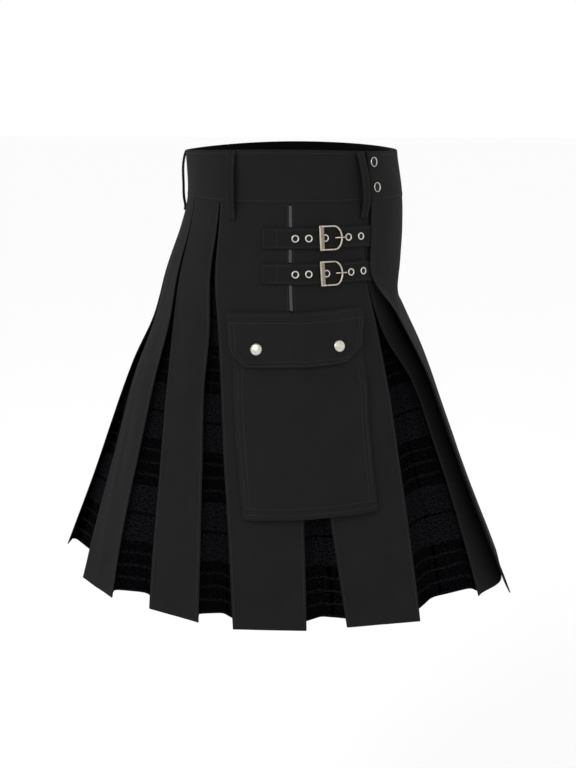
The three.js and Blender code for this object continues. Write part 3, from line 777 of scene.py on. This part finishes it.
def edged_shares(count, width):
    return edged_by(spread(count, 0.0, 1.0), EDGE_MARGIN / width)


def edged_by(shares, margin):
    return sorted({*shares, margin, 1.0 - margin})


SKIRT_ROWS = edged(spread(54, SKIRT_TOP, KILT_LENGTH), SKIRT_TOP, KILT_LENGTH)


# Creases: middle share and height, lean, half length and depth
CREASES = {
    "strip_back_centre": (
        (0.25, 200, 0.30, 55, -1.6), (0.70, 360, -0.15, 110, 1.5), (0.35, 540, 0.08, 60, 1.2),
    ),
    "strip_right_1": ((0.62, 180, -0.35, 50, -1.5), (0.30, 430, 0.10, 120, 1.6)),
    "strip_right_2": ((0.35, 230, 0.25, 70, 1.5), (0.72, 470, -0.12, 100, -1.4)),
    "strip_right_3": ((0.14, 195, 0.12, 45, 1.0), (0.30, 535, 0.10, 50, 1.5), (0.80, 545, -0.10, 45, -1.2)),
    "strip_right_4": ((0.55, 530, 0.05, 55, 1.6), (0.85, 195, -0.25, 35, -1.2)),
    "strip_left_1": ((0.45, 220, 0.22, 60, 1.5), (0.66, 450, -0.08, 120, -1.5)),
    "strip_left_2": ((0.55, 190, -0.28, 55, -1.4), (0.25, 400, 0.12, 90, 1.5), (0.75, 560, 0.05, 50, 1.2)),
    "strip_left_3": ((0.30, 260, 0.20, 80, 1.6), (0.70, 430, -0.15, 100, 1.3)),
    "strip_left_4": ((0.60, 210, -0.30, 60, -1.5), (0.38, 470, 0.06, 120, 1.7)),
    "apron": (
        (0.16, 215, 0.55, 45, -2.0), (0.42, 300, 0.10, 120, 2.2), (0.63, 420, -0.12, 150, -2.2),
        (0.84, 230, -0.50, 50, -1.8), (0.90, 480, -0.05, 110, 1.8),
    ),
}


def creased(name, width, share, down):
    total = 0.0
    for place, level, lean, reach, depth in CREASES[name]:
        beside = (share - place) * width - (down - level) * lean
        total += depth * math.exp(-((beside / (width * 0.045 + 4)) ** 2) - ((down - level) / reach) ** 2)
    return total


def strip_relief(name, seed):
    def relief(share, down):
        large = 1.5 * ease((down - 90) / 200) * wave((share * 2.2, down / 60), seed)
        small = 0.35 * wave((share * 9, down / 16), seed + 5)
        edge = 0.25 * math.exp(-((share * 20) ** 2)) + 0.25 * math.exp(-(((1 - share) * 20) ** 2))
        return large + small + edge + creased(name, 90, share, down)

    return relief


def apron_relief(share, down):
    hips = 1.8 * hump(down, 205, 42) * math.sin(share * 17 + down / 70)
    drape = 2.6 * ease((down - 230) / 260) * wave((share * 3.4, down / 110), 7.0)
    return hips + drape + 0.35 * wave((share * 20, down / 16), 9.0) + creased("apron", 280, share, down)


def under_relief(share, down):
    """The under apron is calm at its edge and follows the apron where it lies against it."""
    x = under_plan(share, down).x
    right, left = along(APRON, "right", down), along(APRON, "left", down)
    against = ease((x + right) / (0.35 * right)) * under_closes(down)
    return against * apron_relief(min(max((x + right) / (right + left), 0.0), 1.0), down)


def with_relief(surface, relief):
    """The same surface, with the relief of its cloth added."""

    def point(share, down, out=0.0):
        return surface(share, down, out + relief(share, down))

    return point


def strip_name(side, number):
    return f"strip_{side}_{number}" if number else "strip_back_centre"


# Every strip's surface and relief, by side and number; the back centre strip is number 0 of the right side
STRIP_FACES = {}
for number, (strip_point, _) in enumerate(STRIP):
    seed = 3.1 * number
    STRIP_FACES["right", number] = (strip_point, strip_relief(strip_name("right", number), seed))
    if number:
        left_relief = strip_relief(strip_name("left", number), seed + 11.7)
        STRIP_FACES["left", number] = (mirrored(strip_point), left_relief)


APRON_FACES = {"apron": (apron_point, apron_relief), "under_apron": (under_point, under_relief)}


def build_strips():
    """Nine black cotton strips, each with its own soft waves."""
    shares = edged_shares(12, 85.0)
    for (side, number), (surface, relief) in STRIP_FACES.items():
        name = strip_name(side, number)
        piece = cloth(
            f"{name}_cloth", surface, shares, SKIRT_ROWS, COTTON, BLACK, name, relief
        )
        declare(surface, shares, SKIRT_ROWS)


def build_band():
    def relief(share, down):
        return 0.35 * wave((share * 60, down / 22), 2.0) + 0.5 * hump(down, 2, 3)

    shares = spread(160, 0.0, 1.0)
    downs = [0, 1.2, 4, 10, 18, 27, 36, 46, 56, 63, 66.6, BAND_HEIGHT]
    piece = cloth(
        "waistband_cloth", wrapped_band, shares, downs, BAND_WALL, BLACK, "waistband", relief
    )
    # The band's inner faces take the near-black copy of the cotton: painted shade for the shaded inside of
    # the kilt
    piece.data.materials.append(BAND_INSIDE_SHADE)
    piece.modifiers["wall"].material_offset = 1
    declare(wrapped_band, shares, downs)


def build_aprons():
    shares = edged_shares(32, 300.0)
    for name, (surface, relief) in APRON_FACES.items():
        piece = cloth(
            f"{name}_cloth", surface, shares, SKIRT_ROWS, COTTON, BLACK, name, relief
        )
        declare(surface, shares, SKIRT_ROWS)


def from_edge(surface, front_edge):
    def place(distance, down, out):
        width = (surface(0, down) - surface(1, down)).length
        share = min(distance / width, 0.42)
        return surface(1 - share if front_edge else share, down, out)

    return place


def inset_path(start, end, down, room):
    """The tartan's line in plan: behind one strip, round a fold, across, and back behind the next."""
    reach = along(PLEAT, "reach", down)
    layer = along(PLEAT, "layer", down)
    valley = along(PLEAT, "valley", down)
    sewn = COTTON / 2 + TARTAN / 2
    behind = sewn + SEAM_GAP
    first = [
        start(0.3, down, -sewn),
        start(reach, down, -behind - TWIST_ROOM),
        start(reach + 0.4, down, -behind - layer),
    ]
    last = [
        end(reach + 0.4, down, -behind - layer - room + TWIST_ROOM),
        end(reach, down, -behind - room),
        end(0.3, down, -sewn),
    ]
    low, high = first[2], last[0]
    inward = Vector((-(low.x + high.x), -(low.y + high.y), 0)).normalized()
    middle = [low.lerp(high, s) + inward * valley * (1 - abs(s - 0.5) * 1.6) for s in (0.3, 0.5, 0.7)]
    return first + middle + last


# Places along the tartan's path, counted in its points and closer at the folds
INSET_STEPS = (
    0, 0.5, 0.9, 1.0, 1.5, 2.0, 2.2, 2.6, 3.0, 3.4, 3.8,
    4.2, 4.6, 5.0, 5.4, 5.8, 6.0, 6.5, 7.0, 7.1, 7.5, 8.0,
)
PATH_END = INSET_STEPS[-1]


def smooth_on(path, at):
    """A point on a smooth line through the path's points."""
    i = min(int(at), len(path) - 2)
    t = at - i
    p0, p1, p2, p3 = (path[min(max(i + k, 0), len(path) - 1)] for k in (-1, 0, 1, 2))
    sharp = 0.16 if i in (0, 1, 6, 7) else 0.5
    return blend(p1, (p2 - p0) * sharp, p2, (p3 - p1) * sharp, t)


def inset_surface(start, end, room):
    """The folded tartan as a surface: shares are places along the path."""
    cache = {}

    def path_at(down):
        key = round(down, 2)
        if key not in cache:
            cache[key] = inset_path(start, end, min(down, TARTAN_LENGTH), room)
        return cache[key]

    def point(share, down, out=0.0):
        path = path_at(down)
        at = share * PATH_END
        p = smooth_on(path, at)
        ahead = smooth_on(path, min(at + 0.05, PATH_END)) - smooth_on(path, max(at - 0.05, 0.0))
        normal = Vector((ahead.y, -ahead.x, 0)).normalized()
        return p + normal * out

    return point


def beside_inset(side, number):
    """The two pieces of cloth that an inset is sewn to, each as a line in from its edge."""
    begin = STRIP_FACES[side if number else "right", number]
    if side == "left" and not number:
        begin = (mirrored(begin[0]), begin[1])
    start = from_edge(with_relief(*begin), True)
    if number + 1 < len(STRIP):
        return start, from_edge(with_relief(*STRIP_FACES[side, number + 1]), False)
    if side == "left":
        return start, from_edge(with_relief(*APRON_FACES["apron"]), True)
    return start, from_edge(with_relief(*APRON_FACES["under_apron"]), False)


def build_insets():
    shares = [step / PATH_END for step in INSET_STEPS]
    rows = edged(spread(44, SKIRT_TOP, TARTAN_LENGTH), SKIRT_TOP, TARTAN_LENGTH)
    for i in range(len(STRIP)):
        for side in ("right", "left"):
            start, end = beside_inset(side, i)
            meets_under = i + 1 == len(STRIP) and side == "right"
            room = BEND_ROOM if meets_under else TWIST_ROOM
            surface = inset_surface(start, end, room)
            seed = 2.3 * i + (7.9 if side == "left" else 0.0)
            seam = UNDER_SEAM_OUT if meets_under else TARTAN_ENDS_OUT

            def relief(share, down, seed=seed, seam=seam):
                middle = math.sin(math.pi * min(max((share - 0.26) / 0.48, 0.0), 1.0))
                sewn = -TARTAN_ENDS_OUT * ease((0.06 - share) / 0.06) - seam * ease((share - 0.94) / 0.06)
                loose = 2.0 * ease((down - 240) / 160)
                return sewn + middle * loose * wave((share * 6, down / 60), seed)

            name = f"tartan_{side}_{i}"
            piece = cloth(f"{name}_cloth", surface, shares, rows, TARTAN, PLAID, name, relief)
            declare(surface, shares, rows)


def loop_surface(angle, base):
    """A belt loop's cloth, bowed out from the band, at a height above the band's middle."""

    def surface(share, down, out=0.0):
        height = base + along(LOOP_RISE, "rise", down)
        centre = oval(angle, down, height + out)
        beside = (oval(angle + 1, down, height + out) - centre).normalized()
        centre = centre + beside * mix(-LOOP_WIDTH / 2, LOOP_WIDTH / 2, share)
        return Vector((centre.x, centre.y, -down + rim_dip(angle, down)))

    return surface


def build_loops():
    rest = BAND_WALL / 2 + SEAM_GAP + LOOP_CLOTH / 2
    downs = [1, 2.5, 5, 8, 12, 18, 25, 34, 44, 54, 63, 70, 76, 81, 85, 87.6, 89]
    for name, (angle, lift) in LOOPS.items():
        surface = loop_surface(angle, rest + lift)

        def relief(share, down):
            return 0.35 * math.exp(-(((share - 0.5) * 5) ** 2)) - 0.2 * hump(down, 84, 3)

        shares = [0, 0.07, 0.2, 0.35, 0.5, 0.65, 0.8, 0.93, 1]
        piece = cloth(
            f"{name}_cloth", surface, shares, downs, LOOP_CLOTH, BAND_BLACK, name, relief
        )
        declare(surface, shares, downs)


def slit_angle(down):
    """The middle of the slit between strips 3 and 4."""
    return (along(EDGES, "f3", down) + along(EDGES, "b4", down)) / 2


def angle_forward(distance, down):
    """The angle at a distance forward of the slit."""
    start = slit_angle(down)
    per_degree = (oval(start, down) - oval(start + 1, down)).length
    return start + distance / per_degree


def seat_matrix(angle, down, out, surface=on_strips):
    """Where a flat piece sits on the cloth: x runs forward, y up and z outward."""
    middle = surface(angle, down, out)
    forward = (surface(angle + 1, down, out) - surface(angle - 1, down, out)).normalized()
    up = (surface(angle, down - 4, out) - surface(angle, down + 4, out)).normalized()
    outward = forward.cross(up).normalized()
    up = outward.cross(forward)
    matrix = Matrix((forward, up, outward)).transposed().to_4x4()
    matrix.translation = middle
    return Matrix.Scale(MM, 4) @ matrix


STRAP_REST = COTTON / 2 + SEAM_GAP + STRAP_LIFT + STRAP_CLOTH / 2


def strap_surface(sizes):
    def surface(across, share, out=0.0):
        down = sizes["middle"] + mix(-0.5, 0.5, across) * STRAP_WIDTH
        lift = STRAP_END_LIFT * ease((share - 0.91) / 0.05)
        angle = angle_forward(mix(sizes["tail"], sizes["tuck"], share), down)
        return on_strips(angle, down, STRAP_REST + lift + out)

    return surface


def build_straps():
    for name, sizes in STRAPS.items():
        lengthwise = strap_surface(sizes)

        def surface(share, across, out=0.0, lengthwise=lengthwise):
            return lengthwise(across, share, out)

        shares = spread(44, 0.0, 1.0)
        across = [0, 0.04, 0.12, 0.25, 0.4, 0.5, 0.6, 0.75, 0.88, 0.96, 1]
        piece = cloth(
            f"{name}_cloth", surface, shares, across, STRAP_CLOTH, BAND_BLACK, name
        )


def revolve(profile, segments):
    """A turned piece about z, from a closed or axis-to-axis profile of (radius, height)."""
    turned = bmesh.new()
    line = [turned.verts.new((r, 0.0, z)) for r, z in profile]
    edges = [turned.edges.new(pair) for pair in zip(line, line[1:])]
    if profile[0][0] > 0 and profile[-1][0] > 0:
        edges.append(turned.edges.new((line[-1], line[0])))
    bmesh.ops.spin(
        turned, geom=line + edges, axis=(0, 0, 1), cent=(0, 0, 0),
        angle=2 * math.pi, steps=segments, use_merge=True,
    )
    bmesh.ops.remove_doubles(turned, verts=turned.verts, dist=0.001)
    bmesh.ops.recalc_face_normals(turned, faces=turned.faces)
    return turned


def finish_piece(shape, name, matrix, material, node=None):
    bmesh.ops.transform(shape, matrix=matrix, verts=shape.verts)
    mesh = bpy.data.meshes.new(name)
    shape.to_mesh(mesh)
    shape.free()
    shade_smooth(mesh)
    return new_object(name, mesh, material, node)


def dark_disc(name, radius, matrix, rise):
    """A flat near-black disc of the shadow material, a little above the ring's seat: painted shade in an
    eyelet's hole, and the dark middle of a band snap.
    """
    disc = bmesh.new()
    bmesh.ops.create_circle(disc, cap_ends=True, segments=24, radius=radius)
    finish_piece(disc, name, matrix @ Matrix.Translation((0, 0, rise)), HOLE_SHADOW)


def arc(centre, radius, start, end, steps):
    turn = [math.radians(mix(start, end, i / steps)) for i in range(steps + 1)]
    return [(centre[0] + radius[0] * math.cos(a), centre[1] + radius[1] * math.sin(a)) for a in turn]


def build_eyelets():
    """Rolled metal eyelets, each with a disc of painted shade in its hole."""
    top = STRAP_REST + STRAP_CLOTH / 2 + SEAM_GAP / 2
    middle_radius = (EYELET_OUTER + EYELET_HOLE) / 2
    half = (EYELET_OUTER - EYELET_HOLE) / 2
    roll = [(EYELET_HOLE, -0.4)] + arc((middle_radius, 0.15), (half, 0.95), 180, 0, 8)
    roll.append((EYELET_OUTER - 0.1, -0.1))
    for name, sizes in STRAPS.items():
        for i, place in enumerate(sizes["eyelets"]):
            matrix = seat_matrix(angle_forward(place, sizes["middle"]), sizes["middle"], top)
            node = f"{name}_eyelet_{i + 1}"
            finish_piece(revolve(roll, 32), f"{node}_ring", matrix, NICKEL, node)
            # Painted shade: a near-black disc stands for the shaded hole
            dark_disc(f"{node}_hole", EYELET_HOLE + 0.05, matrix, 0.12)


def build_snaps():
    rim = arc((0, 0), (1.0, 1.0), 90, 0, 12)
    for i, share in enumerate(POCKET_SNAP_SHARES):
        radius = POCKET_SNAP_RADIUS
        dome = [(x * radius * 0.93, 0.7 + y * 2.3) for x, y in rim]
        dome[0] = (0.0, dome[0][1])
        lip = [(radius * 0.95, 0.55), (radius, 0.35), (radius * 0.98, 0.0), (0.0, 0.0)]
        flap_back = along(FLAP, "back", POCKET_SNAP_DOWN)
        flap_span = along(FLAP, "front", POCKET_SNAP_DOWN) - flap_back
        angle = flap_back + flap_span * share

        def surface(turn, down, out, share=share, angle=angle, flap_span=flap_span):
            return flap_point(share + (turn - angle) / flap_span, down, out)

        matrix = seat_matrix(angle, POCKET_SNAP_DOWN, POCKET_WALL / 2 + 0.1, surface)
        node = f"pocket_snap_{i + 1}"
        finish_piece(revolve(dome + lip, 40), f"{node}_cap", matrix, NICKEL, node)
    for i, (down, inset) in enumerate(BAND_SNAP_PLACES):
        radius = BAND_SNAP_RADIUS
        ring = [(0.0, 0.3), (radius * 0.8, 0.3)]
        ring += arc((radius * 0.91, 0.5), (radius * 0.08, 0.8), 180, 0, 8)
        ring += [(radius, 0.3), (radius * 0.97, 0.0), (0.0, 0.0)]
        per_degree = (oval(APRON_RIGHT_ANGLE, down) - oval(APRON_RIGHT_ANGLE + 1, down)).length
        angle = APRON_RIGHT_ANGLE + inset / per_degree

        def surface(turn, down, out):
            flat = oval(turn, down, out + WRAP_RISE)
            return Vector((flat.x, flat.y, -down + rim_dip(turn, down)))

        matrix = seat_matrix(angle, down, BAND_WALL / 2 + 0.1, surface)
        node = f"band_snap_{i + 1}"
        finish_piece(revolve(ring, 36), f"{node}_cap", matrix, NICKEL, node)
        dark_disc(f"{node}_centre", radius * BAND_SNAP_DARK, matrix, BAND_SNAP_DARK_RISE)


def wire(points, radius, name):
    """A round wire through points, as a bmesh."""
    curve = bpy.data.curves.new(name, "CURVE")
    curve.dimensions = "3D"
    curve.bevel_depth = radius
    curve.bevel_resolution = 4
    curve.use_fill_caps = True
    spline = curve.splines.new("NURBS")
    spline.points.add(len(points) - 1)
    for point, place in zip(spline.points, points):
        point.co = (*place, 1.0)
    spline.use_endpoint_u = True
    spline.order_u = 3
    spline.resolution_u = 6
    holder = bpy.data.objects.new(name, curve)
    bpy.context.scene.collection.objects.link(holder)
    bpy.context.view_layer.update()
    mesh = bpy.data.meshes.new_from_object(holder.evaluated_get(bpy.context.evaluated_depsgraph_get()))
    shape = bmesh.new()
    shape.from_mesh(mesh)
    bpy.data.objects.remove(holder)
    bpy.data.curves.remove(curve)
    bpy.data.meshes.remove(mesh)
    bmesh.ops.remove_doubles(shape, verts=shape.verts, dist=0.0005)
    bmesh.ops.recalc_face_normals(shape, faces=shape.faces)
    return shape


def join_into(target, other):
    mesh = bpy.data.meshes.new("joined")
    other.to_mesh(mesh)
    other.free()
    target.from_mesh(mesh)
    bpy.data.meshes.remove(mesh)


def build_buckles():
    top = STRAP_REST + STRAP_CLOTH / 2 + SEAM_GAP
    for name, sizes in STRAPS.items():
        matrix = seat_matrix(angle_forward(sizes["buckle"], sizes["middle"]), sizes["middle"], top)
        half, tall = BUCKLE_LENGTH / 2, BUCKLE_WIDTH / 2
        level = BUCKLE_LIFT + BUCKLE_WIRE / 2 - 0.3
        r = BUCKLE_WIRE / 2
        left = -half + BUCKLE_BAR / 2
        reach = half - r - BUCKLE_BOW_STARTS
        bow = [(left, tall - r, level), (left / 2, tall - r, level)]
        for x, y in arc((BUCKLE_BOW_STARTS, 0), (reach, tall - r), 90, -90, 12):
            bow.append((x, y, level))
        bow += [(left / 2, r - tall, level), (left, r - tall, level)]
        frame_shape = wire(bow, r, "bow")
        edge = BUCKLE_RIM - half
        rim = [(edge, tall, level), (edge, 0, level), (edge, -tall, level)]
        join_into(frame_shape, wire(rim, BUCKLE_RIM, "edge"))
        finish_piece(frame_shape, f"{name}_buckle_frame", matrix, BRASS, f"{name}_buckle")
        bar = bmesh.new()
        size = Matrix.Diagonal((BUCKLE_BAR - BUCKLE_RIM, BUCKLE_WIDTH, 1.6, 1.0))
        place = Matrix.Translation((left + BUCKLE_RIM / 2, 0, level))
        bmesh.ops.create_cube(bar, size=1.0, matrix=place @ size)
        bmesh.ops.bevel(
            bar, geom=bar.edges[:], offset=0.4, segments=3, profile=0.5, affect="EDGES", material=-1
        )
        finish_piece(bar, f"{name}_buckle_bar", matrix, BRUSHED)
        rise = BUCKLE_LIFT + BUCKLE_WIRE + 0.2
        line = [(6.5, 0, 0.4), (8.5, 0, 1.2), (11, 0, rise), (14, 0, rise + 0.5), (17, 0, rise + 0.6)]
        pin = wire(line + [(20.5, 0, rise)], 0.95, "pin")
        finish_piece(pin, f"{name}_tongue_pin", matrix, BRASS, f"{name}_tongue")


def tilted(share, down):
    """The pocket is sewn on a little out of level, its front edge the higher."""
    return down + POCKET_TILT * (0.5 - share)


POCKET_TURN = {
    "place": (0.0, 0.02, 0.045, 0.06, 0.085, 0.915, 0.94, 0.955, 0.98, 1.0),
    "share": (0.0, 0.0, 0.003, 0.012, 0.03, 0.97, 0.988, 0.997, 1.0, 1.0),
    "depth": (0.0, 0.5, 0.88, 1.0, 1.0, 1.0, 1.0, 0.88, 0.5, 0.0),
}
POCKET_FLOOR = {
    "place": (218.0, 461.0, 465.5, 469.0, 475.0),
    "down": (218.0, 461.0, 465.6, 467.0, 467.0),
    "depth": (1.0, 1.0, 0.9, 0.6, 0.0),
}


def pocket_point(place, length, out=0.0):
    """The pocket's cloth: up one side, across the puffed front, down the other and round the bottom."""
    share = float(np.interp(place, POCKET_TURN["place"], POCKET_TURN["share"]))
    side = float(np.interp(place, POCKET_TURN["place"], POCKET_TURN["depth"]))
    down = float(np.interp(length, POCKET_FLOOR["place"], POCKET_FLOOR["down"]))
    low = float(np.interp(length, POCKET_FLOOR["place"], POCKET_FLOOR["depth"]))
    thick = along(POCKET, "thick", down)
    puff = mix(POCKET_SIDE, thick, 1 - abs(2 * share - 1) ** 5)
    depth = mix(POCKET_WALL / 2, puff - POCKET_WALL / 2, min(side, low))
    angle = mix(along(POCKET, "back", down), along(POCKET, "front", down), share)
    return on_strips(angle, tilted(share, down), COTTON / 2 + POCKET_LIFT + depth + out)


def pocket_back(share, down, out=0.0):
    back, front = along(POCKET, "back", down), along(POCKET, "front", down)
    rest = COTTON / 2 + POCKET_LIFT + POCKET_WALL / 2
    return on_strips(mix(back, front, share), tilted(share, down), rest + out)


def pocket_relief(place, down):
    """Creases of the pocket's front: the fold under the flap, its swell and the sewn edges."""
    share = float(np.interp(place, POCKET_TURN["place"], POCKET_TURN["share"]))
    crease = -1.8 * hump(down + 4 * share, 293, 8) * (0.45 + 0.55 * ease((share - 0.05) / 0.4))
    swell = 1.3 * hump(down, 311, 12) * ease((0.75 - abs(share - 0.45)) / 0.5)
    soft = 0.9 * wave((share * 3.1, down / 42), 31.0)
    groove = -1.2 * hump(down, 455, 2.4)
    side = -0.7 * hump(share, 0.04, 0.013) - 0.7 * hump(share, 0.96, 0.013)
    inner = ease((share - 0.01) / 0.03) * ease((0.99 - share) / 0.03)
    folds = (crease + swell + soft) * ease((462 - down) / 30)
    return (folds + groove + side) * inner * ease((467 - down) / 6)


def build_pocket():
    at_turns = (0.01, 0.033, 0.07, 0.1, 0.9, 0.93, 0.967, 0.99)
    at_seams = (219.5, 450, 453, 455, 457, 459, 463, 472)
    places = sorted({*POCKET_TURN["place"], *at_turns, *spread(22, 0.12, 0.88)})
    lengths = sorted({*POCKET_FLOOR["place"], *at_seams, *spread(34, 224, 446)})
    surface, name = pocket_point, "pocket"
    piece = cloth(
        "pocket_bag_cloth", surface, places, lengths, POCKET_WALL, BLACK, name, pocket_relief
    )
    declare(surface, places, lengths)
    rows = edged(spread(16, 222, 465.5), 222, 465.5)
    shares = edged_by(spread(12, 0.01, 0.99), 0.02)
    back = cloth("pocket_back_cloth", pocket_back, shares, rows, POCKET_WALL, BLACK)
    declare(pocket_back, shares, rows)


def flap_point(share, down, out=0.0):
    angle = mix(along(FLAP, "back", down), along(FLAP, "front", down), share)
    drop = 3 * abs(2 * share - 1) ** 5 * ease((down - FLAP["down"][0]) / 12)
    rise = along(FLAP, "rise", down) - drop
    rest = COTTON / 2 + SEAM_GAP + POCKET_WALL / 2 + FLAP_LIFT
    return on_strips(angle, tilted(share, down), rest + rise + out)


def flap_relief(share, down):
    edge = -0.5 * hump(down, 268, 1.5)
    top = -0.8 * hump(down, 209, 1.4) - 0.6 * hump(down, 215, 1.4)
    low = ((down - POCKET_SNAP_DOWN) / 12) ** 2
    snaps = sum(-math.exp(-(((share - place) / 0.07) ** 2) - low) for place in POCKET_SNAP_SHARES)
    return edge + top + snaps + 0.5 * wave((share * 5, down / 22), 41.0)


def build_flap():
    top, bottom = FLAP["down"][0], FLAP["down"][-1]
    shares = edged_by(spread(30, 0.0, 1.0), 0.012)
    downs = sorted({*spread(22, top, bottom), 209.0, 215.0, 268.0, bottom - 1.2})
    surface, name = flap_point, "pocket_flap"
    piece = cloth(
        f"{name}_cloth", surface, shares, downs, POCKET_WALL, BLACK, name, flap_relief
    )
    declare(surface, shares, downs)


# Sewing: every stitch is a small raised bead of thread
STITCH_LENGTH = 2.3
STITCH_PITCH = 3.1
STITCH_WIDTH = 0.42
STITCH_HEIGHT = 0.22
FIRST_ROW_IN = 3.0
SECOND_ROW_IN = 9.0
SKIRT_SEWN_FROM = SKIRT_TOP + 2
SKIRT_SEWN_TO = KILT_LENGTH - 3
SLIT_FRAYED = ((70, 97), (125, 142), (170, 203))


def stitch_template():
    bead = bmesh.new()
    bmesh.ops.create_icosphere(bead, subdivisions=1, radius=1.0)
    verts = np.array([v.co[:] for v in bead.verts])
    faces = np.array([[v.index for v in f.verts] for f in bead.faces])
    bead.free()
    return verts, faces


BEAD_VERTS, BEAD_FACES = stitch_template()


def stitch_rows(
    name, rows, material=THREAD,
    pitch=STITCH_PITCH, length=STITCH_LENGTH, width=STITCH_WIDTH,
):
    """Joins stitches along rows; a row is a list of (point, outward) in millimetres."""
    verts, faces = [], []
    for row in rows:
        travelled, target = 0.0, pitch / 2
        for (a, out_a), (b, _) in zip(row, row[1:]):
            step = (b - a).length
            while travelled + step >= target and step > 1e-6:
                place = a.lerp(b, (target - travelled) / step)
                ahead = (b - a).normalized()
                out = (out_a - ahead * out_a.dot(ahead)).normalized()
                side = out.cross(ahead)
                axes = np.array([ahead * (length / 2), side * width, out * STITCH_HEIGHT])
                base = len(verts) * len(BEAD_VERTS)
                verts.append((BEAD_VERTS @ axes + np.array(place + out * 0.1)) * MM)
                faces.append(BEAD_FACES + base)
                target += pitch
            travelled += step
    mesh = bpy.data.meshes.new(name)
    mesh.from_pydata(np.concatenate(verts).tolist(), [], np.concatenate(faces).tolist())
    shade_smooth(mesh)
    return new_object(name, mesh, material)


def row_on(surface, places, out):
    """A row of sewing through (share, down) places of a surface, with its outward direction."""
    row = []
    for share, down in places:
        point = surface(share, down, out)
        row.append((point, (surface(share, down, out + 1.0) - point).normalized()))
    return row


def row_down(surface, share, start, end, out):
    return row_on(surface, [(share, down) for down in spread(60, start, end)], out)


def row_across(surface, down, start, end, out):
    return row_on(surface, [(share, down) for share in spread(60, start, end)], out)


def edge_rows(surface, inset, start, end, out):
    """The same row of sewing down both edges of a surface."""
    return [row_down(surface, share, start, end, out) for share in (inset, 1 - inset)]


def sew_skirt():
    """Top stitching along the strips' edges, and double rows down the aprons' turned edges."""
    face = COTTON / 2
    rows = []
    for surface, relief in STRIP_FACES.values():
        laid = with_relief(surface, relief)
        inset = FIRST_ROW_IN / (surface(0, 400) - surface(1, 400)).length
        rows += edge_rows(laid, inset, SKIRT_SEWN_FROM, SKIRT_SEWN_TO, face)
    stitch_rows("strip_stitching", rows)
    rows = []
    for surface, relief in APRON_FACES.values():
        laid = with_relief(surface, relief)
        width = (surface(0, 400) - surface(0.5, 400)).length * 2
        for inset in (FIRST_ROW_IN / width, SECOND_ROW_IN / width):
            rows += edge_rows(laid, inset, SKIRT_SEWN_FROM, SKIRT_SEWN_TO, face)
    stitch_rows("apron_stitching", rows)


def sew_band():
    rows = []
    for down in (4.0, BAND_HEIGHT - 4.0):
        places = [(share, down) for share in spread(240, 0.004, 0.996)]
        rows.append(row_on(wrapped_band, places, BAND_WALL / 2 + 0.1))
    stitch_rows("waistband_stitching", rows)


def sew_loops():
    rest = BAND_WALL / 2 + SEAM_GAP + LOOP_CLOTH
    rows = []
    for angle, lift in LOOPS.values():
        surface = loop_surface(angle, rest + lift)
        rows += edge_rows(surface, 0.16, 2, 88, 0.0)
        for down in (5.0, 84.0):
            rows.append(row_across(surface, down, 0.12, 0.88, 0.0))
    stitch_rows("belt_loop_stitching", rows)


def sew_straps():
    """Rows along both edges of each strap, and a sewn square at its tail."""
    rows = []
    for sizes in STRAPS.values():
        surface = strap_surface(sizes)
        length = sizes["tuck"] - sizes["tail"]
        near, far = 3.0 / length, 20.0 / length
        for across in (0.11, 0.89):
            places = [(across, share) for share in spread(70, near, 1.0)]
            rows.append(row_on(surface, places, STRAP_CLOTH / 2))
        for share in (near, far):
            places = [(across, share) for across in spread(12, 0.11, 0.89)]
            rows.append(row_on(surface, places, STRAP_CLOTH / 2))
    stitch_rows("strap_stitching", rows)


def sew_pocket():
    """Double rows round the flap, down the pocket's sides and along its bottom."""
    face = POCKET_WALL / 2
    flap = with_relief(flap_point, flap_relief)
    rows = [row_across(flap, down, 0.02, 0.98, face) for down in (207.5, 216.5, 265.0, 270.5)]
    for inset in (0.018, 0.05):
        rows += edge_rows(flap, inset, 217, 270, face)
    bag = with_relief(pocket_point, pocket_relief)
    for place in (0.083, 0.115):
        rows += edge_rows(bag, place, 276, 450, face)
    rows += [row_across(bag, down, 0.075, 0.925, face) for down in (451.5, 459.5)]
    stitch_rows("pocket_stitching", rows)


def sew_slits():
    """The light, frayed edge that shows in the narrow slit between strips 3 and 4."""
    rows = []
    for start, end in SLIT_FRAYED:
        for aside in (-0.5, -0.17, 0.17, 0.5):
            places = []
            for down in spread(30, start, end):
                sway = 0.12 * wave((down / 4, aside * 10), 51.0)
                places.append((slit_angle(down) + aside + sway, down))
            rows.append(row_on(on_strips, places, COTTON / 2 + 0.15))
    stitch_rows("slit_fraying", rows, GREY_THREAD, 1.5, 1.7, 0.34)


build_band()
build_strips()
build_aprons()
build_insets()
build_loops()
build_straps()
build_eyelets()
build_snaps()
build_buckles()
build_pocket()
build_flap()
sew_skirt()
sew_band()
sew_loops()
sew_straps()
sew_pocket()
sew_slits()

bpy.context.view_layer.update()
